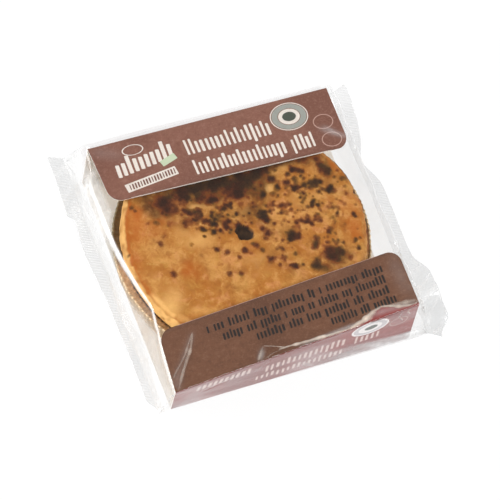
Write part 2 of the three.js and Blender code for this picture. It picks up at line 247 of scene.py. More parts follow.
class Nodes:
    """Shorthand for building one node material."""

    def __init__(self, name):
        self.material = bpy.data.materials.new(name)
        self.material.use_nodes = True
        self.tree = self.material.node_tree
        self.tree.nodes.clear()
        self.output = self.new("ShaderNodeOutputMaterial")
        self.place = self.new("ShaderNodeTexCoord").outputs["Object"]

    def new(self, kind, **settings):
        node = self.tree.nodes.new(kind)
        for key, value in settings.items():
            setattr(node, key, value)
        return node

    def feed(self, socket, value):
        """Links a socket to feed it, or sets its own value."""
        if isinstance(value, bpy.types.NodeSocket):
            self.tree.links.new(value, socket)
        else:
            socket.default_value = value

    def fed(self, node, *values):
        """First output of a node whose inputs are fed in order."""
        for socket, value in zip(node.inputs, values):
            self.feed(socket, value)
        return node.outputs[0]

    def made(self, kind, **inputs):
        """First output of a new node whose inputs are fed by name."""
        node = self.new(kind)
        for name, value in inputs.items():
            self.feed(node.inputs[name.replace("_", " ")], value)
        return node.outputs[0]

    def math(self, operation, *values):
        return self.fed(self.new("ShaderNodeMath", operation=operation), *values)

    def noise(self, cell, detail, roughness, stretch=None, distortion=0.0):
        """Noise from 0 to 1 with hills about one cell (mm) across."""
        place = self.place
        if stretch:
            place = self.made("ShaderNodeMapping", Vector=place, Scale=stretch)
        return self.made("ShaderNodeTexNoise", Vector=place, Scale=1 / (cell * MM),
                         Detail=detail, Roughness=roughness, Distortion=distortion)

    def attribute(self, name):
        return self.new("ShaderNodeAttribute", attribute_name=name).outputs["Fac"]

    def range(self, value, low, high, to_low=0.0, to_high=1.0):
        """A value carried smoothly from one range to another."""
        node = self.new("ShaderNodeMapRange", interpolation_type="SMOOTHSTEP")
        return self.fed(node, value, low, high, to_low, to_high)

    def vary(self, share, noise, amount):
        """A share made uneven by noise."""
        return self.math("MULTIPLY_ADD", self.math("SUBTRACT", noise, 0.5), amount, share)

    def mix(self, share, first, second):
        """A colour between two."""
        node = self.new("ShaderNodeMix", data_type="RGBA", clamp_factor=True)
        for index, value in ((0, share), (6, first), (7, second)):
            self.feed(node.inputs[index], value)
        return node.outputs[2]

    def layers(self, colour, *rows):
        """Tones laid over a colour, each by a share: where it starts, where it is full, how much
        of the tone it brings, and the tone."""
        for share, low, high, most, tone in rows:
            colour = self.mix(self.range(share, low, high, 0, most), colour, tone)
        return colour

    def bump(self, height, depth):
        """A bump of that depth in millimetres."""
        return self.made("ShaderNodeBump", Distance=depth * MM, Strength=1.0, Height=height)

    def blend(self, share, first, second):
        """A surface between two."""
        return self.fed(self.new("ShaderNodeMixShader"), share, first, second)

    def finish(self, surface):
        self.feed(self.output.inputs["Surface"], surface)
        return self.material

    def principled(self, colour, roughness, normal, **inputs):
        """The material, with one principled surface."""
        return self.finish(self.made("ShaderNodeBsdfPrincipled", Base_Color=colour,
                                     Roughness=roughness, Normal=normal, **inputs))


def crust_material():
    """Baked pastry: mottled gold, browned, reddened, pale and scorched where the shares say."""
    n = Nodes("crust_baked")
    wide = n.noise(12, 3, 0.6)
    mid = n.noise(3.6, 4, 0.62, distortion=0.5)
    fine = n.noise(1.0, 4, 0.65)
    hue = n.noise(7.0, 3, 0.6, distortion=0.4)
    olive = n.range(hue, 0.42, 0.60)
    brown = n.vary(n.attribute("brown"), mid, 0.7)
    red = n.vary(n.attribute("red"), mid, 0.6)
    pale = n.vary(n.attribute("pale"), mid, 0.6)
    scorch = n.vary(n.vary(n.attribute("scorch"), fine, 0.34), mid, 0.30)
    colour = n.layers(
        n.mix(n.range(wide, 0.36, 0.64), linear(178, 112, 42), linear(204, 145, 74)),
        (hue, 0.52, 0.68, 0.6, linear(184, 130, 56)),
        (hue, 0.46, 0.32, 0.55, linear(206, 138, 84)),
        (mid, 0.45, 0.72, 0.54, linear(170, 96, 32)),
        (mid, 0.5, 0.28, 0.42, linear(218, 168, 98)),
        (fine, 0.54, 0.74, 0.4, linear(150, 84, 28)),
        (brown, -0.10, 1.0, 1.0, linear(88, 50, 18)),
        (red, 0.12, 1.0, 0.75, linear(180, 92, 22)),
        (pale, 0.12, 1.0, 1.0, linear(244, 190, 114)),
        (scorch, 0.08, 0.42, 0.72, n.mix(olive, linear(134, 70, 26), linear(120, 78, 30))),
        (scorch, 0.28, 0.76, 0.88, n.mix(olive, linear(80, 38, 20), linear(64, 42, 20))),
        (scorch, 0.62, 1.05, 0.85, linear(38, 23, 14)))
    floor = n.mix(n.range(wide, 0.4, 0.6), linear(46, 30, 18), linear(72, 50, 30))
    colour = n.mix(n.attribute("vent"), colour, floor)
    normal = n.bump(n.math("MULTIPLY_ADD", fine, 0.6, mid), 0.30)
    rough = n.range(fine, 0.3, 0.7, 0.46, 0.66)
    return n.principled(colour, rough, normal, Specular_IOR_Level=0.16)


def foil_material():
    """Dull thin aluminium with crushed pleats, and painted shade at the far left."""
    n = Nodes("foil_dull")
    crush = n.noise(2.2, 4, 0.6)
    fine = n.noise(0.5, 2, 0.5)
    split = n.new("ShaderNodeSeparateXYZ")
    n.fed(split, n.place)
    x, y, z = split.outputs
    wall = n.mix(n.range(crush, 0.35, 0.7), linear(190, 158, 116), linear(218, 188, 148))
    top = n.mix(n.range(crush, 0.35, 0.7), linear(190, 160, 116), linear(230, 204, 166))
    tone = n.mix(n.range(z, 0.0225, 0.0245), wall, top)
    # painted shade: the foil at the far left is darkened to olive for the shade on its rim and wall
    # there
    painted_shade = n.math("MULTIPLY", n.range(y, 0.000, 0.014, 0, 0.75), n.range(x, -0.040, -0.048))
    tone = n.mix(painted_shade, tone, linear(108, 98, 70))
    normal = n.bump(n.math("MULTIPLY_ADD", fine, 0.35, crush), 0.35)
    return n.principled(tone, n.range(crush, 0.3, 0.7, 0.30, 0.46), normal, Metallic=0.36)


def card_print(name, light, dark, grey):
    """Flat brown ink on fibrous card: streaks along the folds, flecks and short pale fibres."""
    n = Nodes(name)
    broad = n.noise(34, 2, 0.5)
    streak = n.noise(3.0, 4, 0.6, stretch=(0.5, 1.0, 1.0))
    grain = n.noise(0.7, 3, 0.65)
    fibre = n.noise(1.2, 2, 0.5, stretch=(0.35, 1.5, 1.5), distortion=1.6)
    mottle = n.noise(2.2, 4, 0.7)
    colour = n.layers(n.mix(n.range(broad, 0.38, 0.62), dark, light),
                      (streak, 0.35, 0.7, 0.25, dark), (mottle, 0.48, 0.30, 0.8, dark),
                      (mottle, 0.52, 0.72, 0.4, grey), (grain, 0.48, 0.78, 0.5, grey),
                      (fibre, 0.62, 0.76, 0.4, grey))
    normal = n.bump(n.math("ADD", grain, fibre), 0.05)
    return n.principled(colour, n.range(grain, 0.3, 0.7, 0.55, 0.75), normal,
                        Specular_IOR_Level=0.3)


def card_plain(name, light, dark):
    """Unprinted card with a soft grey-cream grain."""
    n = Nodes(name)
    broad = n.noise(18, 3, 0.5)
    grain = n.noise(0.6, 3, 0.6)
    colour = n.layers(light, (broad, 0.35, 0.7, 1.0, dark), (grain, 0.5, 0.8, 0.3, dark))
    return n.principled(colour, n.range(grain, 0.3, 0.7, 0.6, 0.8), n.bump(grain, 0.04),
                        Specular_IOR_Level=0.3)


def ink_material(name, colour, worn):
    """Ink with the card's grain showing through it."""
    n = Nodes(name)
    grain = n.noise(0.7, 3, 0.6)
    blot = n.noise(4, 2, 0.5)
    tone = n.layers(colour, (grain, 0.5, 0.82, 0.5, worn), (blot, 0.5, 0.75, 0.25, worn))
    return n.principled(tone, n.range(grain, 0.3, 0.7, 0.5, 0.7), n.bump(grain, 0.04))


def film_material(name, cloud, least_rough):
    """A thin sheet: it mirrors by angle, and is milky or grey where the two shares say."""
    n = Nodes(name)
    ripple = n.noise(2.6, 3, 0.5)
    small = n.noise(0.9, 2, 0.5)
    normal = n.bump(n.math("MULTIPLY_ADD", small, 0.3, ripple), 0.05)
    layer = n.new("ShaderNodeLayerWeight")
    n.fed(layer, 0.5, normal)
    steep = n.math("POWER", layer.outputs["Facing"], 5.0)
    mirrored = n.math("MULTIPLY_ADD", steep, 0.85, 0.06)
    tone = n.mix(n.attribute("tint"), (0.99, 0.99, 0.99, 1), (0.885, 0.888, 0.89, 1))
    clear = n.made("ShaderNodeBsdfTransparent", Color=tone)
    haze = n.attribute("haze")
    gloss = n.made("ShaderNodeBsdfGlossy", Color=(1, 1, 1, 1), Normal=normal,
                   Roughness=n.range(haze, 0.0, 0.4, least_rough, 0.35))
    milk = n.made("ShaderNodeBsdfDiffuse", Color=cloud)
    milky = n.math("MULTIPLY", haze, n.range(ripple, 0.3, 0.75, 0.85, 1.15))
    return n.finish(n.blend(mirrored, n.blend(milky, clear, milk), gloss))


# ---- the sleeve's faces ----------------------------------
def edge_at(name, s):
    """Points of a sleeve's edge at shares s of its length."""
    s = np.asarray(s, float)[..., None]
    return SLEEVE[name][0] * (1 - s) + SLEEVE[name][1] * s


# Each face of the artwork: its fold, its other edge, how deep it is, and the way it looks.
FACES = {"near": ("near_fold", "near_edge", ART_DEPTH, (0, 0, 1)),
         "far": ("far_fold", "far_edge", ART_DEPTH, (0, 0, 1)),
         "wall": ("near_fold", "near_base", WALL_DEPTH, (0, -1, 0))}


def on_face(face, a, b, lift):
    """A point of the artwork, a along the fold and b from it, on a flap or the near wall."""
    fold, edge, depth, outward = FACES[face]
    s = np.asarray(a, float) / ART_LENGTH
    t = np.asarray(b, float)[..., None] / depth
    top, low = edge_at(fold, s), edge_at(edge, s)
    point = top * (1 - t) + low * t
    along = (SLEEVE[fold][1] - SLEEVE[fold][0]) * (1 - t) + (SLEEVE[edge][1] - SLEEVE[edge][0]) * t
    normal = unit(np.cross(along, low - top))
    normal = normal * np.sign((normal * np.array(outward)).sum(-1, keepdims=True))
    return point + normal * lift


# Where each run of the sleeve's section starts, and the steps it is drawn in.
RUNS = [("near_edge", 14), ("near_fold", 12), ("near_base", 30), ("far_base", 12),
        ("far_fold", 14), ("far_edge", 0)]


def sleeve_section(s):
    """Outer cross-sections at shares s, from the near flap's edge round to the far one's, and the
    run that each stretch between two points belongs to."""
    length = SLEEVE["near_fold"][1][0] - SLEEVE["near_fold"][0][0]
    depth = abs(SLEEVE["near_edge"][0][1] - SLEEVE["near_fold"][0][1])
    from_end = np.minimum(np.minimum(s, 1 - s) * length, FLAP_CORNER_R)
    missing = FLAP_CORNER_R - np.sqrt(FLAP_CORNER_R ** 2 - (FLAP_CORNER_R - from_end) ** 2)
    share = (1 - missing / depth)[:, None]
    corner = {name: edge_at(name, s) for name in SLEEVE}
    for edge, fold in (("near_edge", "near_fold"), ("far_edge", "far_fold")):
        corner[edge] = corner[fold] + (corner[edge] - corner[fold]) * share

    def fold_step(way):
        """As far along a run as a fold's curve reaches."""
        return way / np.hypot(way[:, 1], way[:, 2])[:, None] * FOLD_R

    line = [corner[name] for name, _ in RUNS]
    points, runs = [line[0]], []
    for k in range(1, len(RUNS)):
        before, here, last = line[k - 1], line[k], k == len(RUNS) - 1
        start = points[-1]
        stop = here if last else here - fold_step(here - before)
        count = RUNS[k - 1][1]
        for i in range(1, count + 1):
            points.append(start + (stop - start) * i / count)
            runs.append(k - 1)
        if last:
            break
        leave = here + fold_step(line[k + 1] - here)
        for t in (0.2, 0.4, 0.6, 0.8, 1.0):
            points.append((1 - t) ** 2 * stop + 2 * t * (1 - t) * here + t * t * leave)
            runs.append(k - 1 if t <= 0.6 else k)
    return np.stack(points, 1), runs


def offset_section(section, distance):
    """The sections moved inwards by a distance in the Y-Z plane."""
    step = unit(np.diff(section, axis=1)[..., 1:])
    before = np.concatenate([step[:, :1], step], 1)
    after = np.concatenate([step, step[:, -1:]], 1)
    mean = (before + after) / 2
    square = (mean ** 2).sum(-1)
    moved = section.copy()
    moved[..., 1] -= mean[..., 1] / square * distance
    moved[..., 2] += mean[..., 0] / square * distance
    return moved


def make_sleeve():
    """The folded card: an outside, an inside and the cut border between them."""
    ends = 0.5 * FLAP_CORNER_R / ART_LENGTH * (1 - np.cos(np.linspace(0, np.pi, 15)))
    s = np.concatenate([ends, np.linspace(ends[-1], 1 - ends[-1], 60)[1:-1], 1 - ends[::-1]])
    outer, runs = sleeve_section(s)
    inner = offset_section(outer, CARD)
    rows, cols = outer.shape[:2]
    first = rows * cols
    outside = grid_faces(rows, cols)
    inside = grid_faces(rows, cols, first)[:, ::-1]
    border = []
    for c, turn in ((0, 1), (cols - 1, -1)):
        a = np.arange(rows - 1) * cols + c
        border.append(np.stack([a, a + first, a + cols + first, a + cols], 1)[:, ::turn])
    for r, turn in ((0, 1), (rows - 1, -1)):
        a = r * cols + np.arange(cols - 1)
        border.append(np.stack([a, a + 1, a + 1 + first, a + first], 1)[:, ::turn])
    faces = np.concatenate([outside, inside, *border])
    materials = [
        card_print("card_brown_near", linear(113, 74, 52), linear(97, 62, 43),
                   linear(140, 102, 80)),
        card_print("card_red_wall", linear(150, 62, 56), linear(128, 48, 42), linear(166, 98, 92)),
        # the far flap's brown is the card's own brown lightened by a painted soft reflection
        card_print("card_brown_far_painted_sheen", linear(136, 91, 75), linear(122, 79, 64),
                   linear(166, 124, 109)),
        card_plain("card_inside", linear(255, 252, 247), linear(248, 243, 235)),
    ]
    # the near flap, the near wall and all the rest each have their own outside
    slots = np.full(len(faces), 3)
    slots[:len(outside)] = np.tile(np.minimum(runs, 2), rows - 1)
    make_piece("sleeve", np.concatenate([outer.reshape(-1, 3), inner.reshape(-1, 3)]), faces,
               materials, slots, "card_sleeve")


# ---- print: plain rings, discs, bars and strips ----------
class Artwork:
    """Collects flat shapes laid out in millimetres on one face of the sleeve."""

    def __init__(self, face, lift):
        self.face, self.lift = face, lift
        self.points, self.faces = [], []

    def add_grid(self, a, b, wrap=False):
        self.faces.append(grid_faces(*a.shape, sum(len(p) for p in self.points), wrap))
        self.points.append(on_face(self.face, a, b, self.lift).reshape(-1, 3))

    def bar(self, a0, b0, a1, b1, width, corner):
        """A straight bar from one point to the other, with rounded corners."""
        start, end = np.array([a0, b0], float), np.array([a1, b1], float)
        length = np.linalg.norm(end - start)
        way = (end - start) / length
        side = np.array([-way[1], way[0]])
        inner = np.linspace(0, 1, max(2, int(length / 2.5) + 1)) * (length - 2 * corner) + corner
        arc = corner * (1 - np.cos(np.linspace(0, np.pi / 2, 6)))
        place = np.concatenate([arc[:-1], inner, length - arc[:-1][::-1]])
        off_end = np.minimum(np.minimum(place, length - place), corner)
        half = width / 2 - corner + np.sqrt(np.maximum(corner ** 2 - (corner - off_end) ** 2, 0))
        half = np.maximum(half, 0.02)
        grid = np.stack([start + place[:, None] * way + half[:, None] * side * k
                         for k in (-1, 0, 1)])
        self.add_grid(grid[..., 0], grid[..., 1])

    def ring(self, a, b, radius_a, radius_b, width):
        angle = np.linspace(0, 2 * np.pi, 48, endpoint=False)
        shares = np.array([[1.0], [1 - width / max(radius_a, radius_b)]])
        self.add_grid(a + radius_a * shares * np.cos(angle), b + radius_b * shares * np.sin(angle),
                      wrap=True)

    def disc(self, a, b, radius_a, radius_b):
        self.ring(a, b, radius_a, radius_b, 0.98 * max(radius_a, radius_b))

    def strip(self, a, top):
        """The area between the fold and a line at some distances from it."""
        fine = np.linspace(a[0], a[-1], 60)
        high = np.maximum(np.interp(fine, a, top), 0.05)
        shares = np.linspace(0, 1, 5)[:, None]
        self.add_grid(fine + 0 * shares, high * shares)

    def row(self, a0, a1, b, height, stroke, seed, groups, tall=0.3):
        """A row of small upright bars in groups, between a0 and a1; some are taller or lower."""
        rng = np.random.default_rng(seed)
        step = (a1 - a0) / (sum(groups) + len(groups) - 1)
        place = a0
        for count in groups:
            for _ in range(count):
                extra = tall * height if rng.random() < 0.3 else 0.0
                drop = 0.25 * height if rng.random() < 0.12 else 0.0
                middle = place + step / 2 + rng.uniform(-0.04, 0.04) * step
                width = stroke * step * rng.uniform(0.75, 1.1)
                self.bar(middle, b - drop, middle, b + height + extra, width, width * 0.35)
                place += step
            place += step


# Inks: as printed and as worn, in colours as a screen shows them.
INKS = {
    "cream": ((232, 222, 212), (196, 176, 162)), "dark": ((26, 18, 12), (56, 40, 32)),
    "pink": ((214, 186, 178), (188, 140, 132)), "deep": ((118, 26, 26), (140, 48, 44)),
    "brown": ((112, 70, 56), (140, 96, 80)), "red": ((138, 46, 40), (156, 74, 66)),
    "tan": ((190, 152, 138), (160, 120, 106)), "white": ((240, 234, 232), (222, 208, 206)),
    "silver": ((196, 190, 192), (214, 204, 204)), "grey": ((156, 158, 150), (132, 128, 120)),
    "green": ((72, 78, 66), (92, 92, 82)), "sage": ((196, 208, 176), (212, 216, 196)),
}

# Pieces of print: name, face, times the ink's lift, ink, and the shapes with their numbers.
PRINTS = [
    ("print_block", "far", 1, "cream", [
        ("ring", 19.5, 6.2, 5.2, 2.6, 0.6),
        *(("bar", 9.0 + 2.95 * k, 18.2 - 0.42 * k, 9.5 + 2.95 * k, 18.2 - 0.42 * k - height,
           1.9, 0.45)
          for k, height in enumerate((6.4, 6.4, 9.2, 6.6, 6.2, 6.4, 6.4, 6.4, 9.4, 6.8))),
        ("bar", 9.2, 24.2, 35.2, 20.8, 4.2, 0.3)]),
    ("print_marks", "far", 1.8, "brown", [
        ("bar", 11.2 + 1.42 * k, 25.3 - 0.186 * k, 11.2 + 1.42 * k + 0.12, 25.3 - 0.186 * k - 2.7,
         0.75 if k % 4 else 0.5, 0.12) for k in range(17)]),
    ("print_title", "far", 1, "cream", [
        ("row", 42.6, 85.4, 15.2, -5.8, 0.58, 11, [17]),
        ("row", 43.0, 103.2, 25.4, -5.6, 0.58, 12, [19, 5])]),
    ("print_label", "far", 1.6, "sage", [("bar", 29.6, 16.4, 37.4, 13.9, 3.0, 0.3)]),
    ("print_badge", "far", 1, "cream", [
        ("ring", 95.7, 9.0, 9.2, 6.6, 0.5), ("disc", 95.7, 9.0, 5.2, 3.7)]),
    ("print_band", "far", 1, "grey", [("ring", 95.7, 9.0, 8.4, 6.0, 2.9)]),
    ("print_centre", "far", 1.8, "green", [("disc", 95.7, 9.0, 3.3, 2.2)]),
    ("print_circles", "far", 1, "tan", [
        ("ring", 110.2, 15.1, 4.9, 3.5, 0.5), ("ring", 110.9, 24.0, 4.9, 3.5, 0.5)]),
    ("print_edge_far", "far", 1, "cream", [("bar", 9.4, 28.88, 108.6, 28.88, 0.18, 0.06)]),
    ("print_edge_near", "near", 1, "tan", [("bar", 9.4, 28.88, 108.6, 28.88, 0.18, 0.06)]),
    ("print_rows", "near", 1, "dark", [
        ("row", 21.3, 108.4, 20.7, 3.2, 0.62, 21, [1, 3, 6, 4, 9, 2, 1, 9, 6]),
        ("row", 27.8, 107.8, 15.2, 3.2, 0.62, 22, [6, 3, 6, 1, 4, 2, 6, 3, 9]),
        ("row", 42.5, 107.5, 9.9, 3.2, 0.62, 23, [8, 4, 4, 7, 3, 6]),
        ("row", 77.0, 109.2, 4.7, 3.2, 0.62, 24, [8, 3, 7])]),
    ("print_wall", "wall", 1, "pink", [
        ("row", 44.0, 84.0, 16.6, -6.4, 0.5, 31, [15], 0.25),
        ("row", 88.0, 101.5, 19.4, -5.6, 0.5, 32, [5], 0.25),
        ("row", 40.0, 84.0, 26.0, -4.6, 0.5, 33, [17], 0.25),
        *(("bar", 11.5 + 2.7 * k, 12.0, 12.0 + 2.7 * k, 5.2, 1.6, 0.4) for k in range(10))]),
    ("print_wall_badge", "wall", 1, "white", [("disc", 95.0, 7.0, 9.2, 6.2)]),
    ("print_wall_band", "wall", 1.4, "silver", [("ring", 95.0, 7.0, 8.2, 5.4, 2.4)]),
    # where the fold is crushed at the right, the wall's red reaches up over it
    ("print_crushed", "near", 1, "red", [
        ("strip", (85, 88, 92, 97.5, 101.5, 108, 113, 118),
         (0.0, 0.4, 1.8, 4.2, 4.8, 2.1, 0.8, 0.5))]),
    ("print_fold", "wall", 1, "deep", [("bar", 1.0, 1.5, 117.0, 1.5, 1.3, 0.3)]),
    ("print_wall_centre", "wall", 1.8, "green", [("disc", 95.4, 7.0, 3.2, 1.9)]),
    ("print_wall_circle", "wall", 1, "tan", [("ring", 109.5, 10.5, 4.6, 3.4, 0.5)]),
]


def make_prints():
    """The pieces of print, in the order of their table."""
    inks = {name: ink_material("ink_" + name, linear(*fresh), linear(*worn))
            for name, (fresh, worn) in INKS.items()}
    for name, face, lifts, ink, shapes in PRINTS:
        art = Artwork(face, INK_LIFT * lifts)
        for shape, *numbers in shapes:
            getattr(art, shape)(*numbers)
        make_piece(name, np.concatenate(art.points), np.concatenate(art.faces), [inks[ink]])


# ---- foil tray -------------------------------------------
def wall_radius(z):
    """Outside of the foil's wall at a height: rounded at the foot, then nearly upright."""
    return np.interp(z, (0.8, 3.0, 12.0, 24.1), (TRAY_BASE_R, 54.6, 56.9, 57.5))


def make_tray():
    """The pleated foil, ring by ring: out under the base, up, over the rolled rim and back."""
    count = PLEATS * PLEAT_POINTS
    angle = np.linspace(0, 2 * np.pi, count, endpoint=False)
    pleat = np.abs(((angle / (2 * np.pi) * PLEATS) % 1) * 2 - 1) * 2 - 1
    pleat = pleat + 0.5 * soft_noise(angle * 30, angle * 0, 1.0, 61)
    uneven = 0.16 * soft_noise(angle * 9, angle * 0, 1.0, 62)
    heights = np.linspace(TRAY_FLOOR_Z + 1.2, UNDER_RIM_Z - 0.3, 16)
    floor = TRAY_FLOOR_Z + FOIL_THIN
    # radius, height, share of the pleats' depth
    outer = [(0.0, TRAY_FLOOR_Z, 0), (FLAT_R, TRAY_FLOOR_Z, 0),
             (TRAY_BASE_R - 1.2, TRAY_FLOOR_Z, 0.1)]
    outer += [(wall_radius(z) - 0.15, z, 0.6 + 0.4 * (z - 2) / 22) for z in heights]
    bead = [(TRAY_RIM_R - 0.7 + 0.7 * np.cos(t), UNDER_RIM_Z + 0.75 + 0.7 * np.sin(t), 0.25)
            for t in np.linspace(-2.2, 1.9, 11)]
    flange = [(TRAY_RIM_R - 1.3, UNDER_RIM_Z + 0.7, 0.5),
              (TRAY_RIM_R - 1.9, UNDER_RIM_Z - 0.6, 0.6)]
    inner = [(min(r - FOIL_THIN, TRAY_RIM_R - 2.0), z, share) for r, z, share in outer[::-1][:-3]]
    inner += [(TRAY_BASE_R - 1.3, floor, 0.1), (FLAT_R, floor, 0), (0.0, floor, 0)]
    # share of the rim's stretch
    stretch = [smooth(4, 22, z) for _, z, _ in outer] + [1.0] * len(bead) + [1.0, 0.6]
    stretch += [0.0] * len(inner)
    # at the left the flange lies flat up to the crust, elsewhere it drops into the tray
    flat_left = smooth(100, 130, np.degrees(np.arccos(np.cos(angle))))
    flange_edge = len(outer) + len(bead) + 1
    rings = []
    for k, ((r, z, share), pulled) in enumerate(zip(outer + bead + flange + inner, stretch)):
        if k == flange_edge:
            r = r * (1 - flat_left) + (TRAY_RIM_R - 1.3) * flat_left
            z = z * (1 - flat_left) + (UNDER_RIM_Z + 0.8) * flat_left
            pulled = pulled * (1 - flat_left) + 0.25 * flat_left
        radius = r + (PLEAT_DEPTH * pleat * share + uneven) * (r > TRAY_BASE_R)
        x = radius * np.cos(angle) * (1 + RIM_STRETCH * pulled) - RIM_SHIFT * pulled
        crest = (0.14 + 0.10 * flat_left) * pleat * (z > UNDER_RIM_Z + 0.65)
        rings.append(np.stack([PIE_X + x * (r > 0), PIE_Y + radius * np.sin(angle) * (r > 0),
                               z + crest], -1))
    make_piece("tray", np.stack(rings), grid_faces(len(rings), count, wrap=True),
               [foil_material()], node="foil_tray")


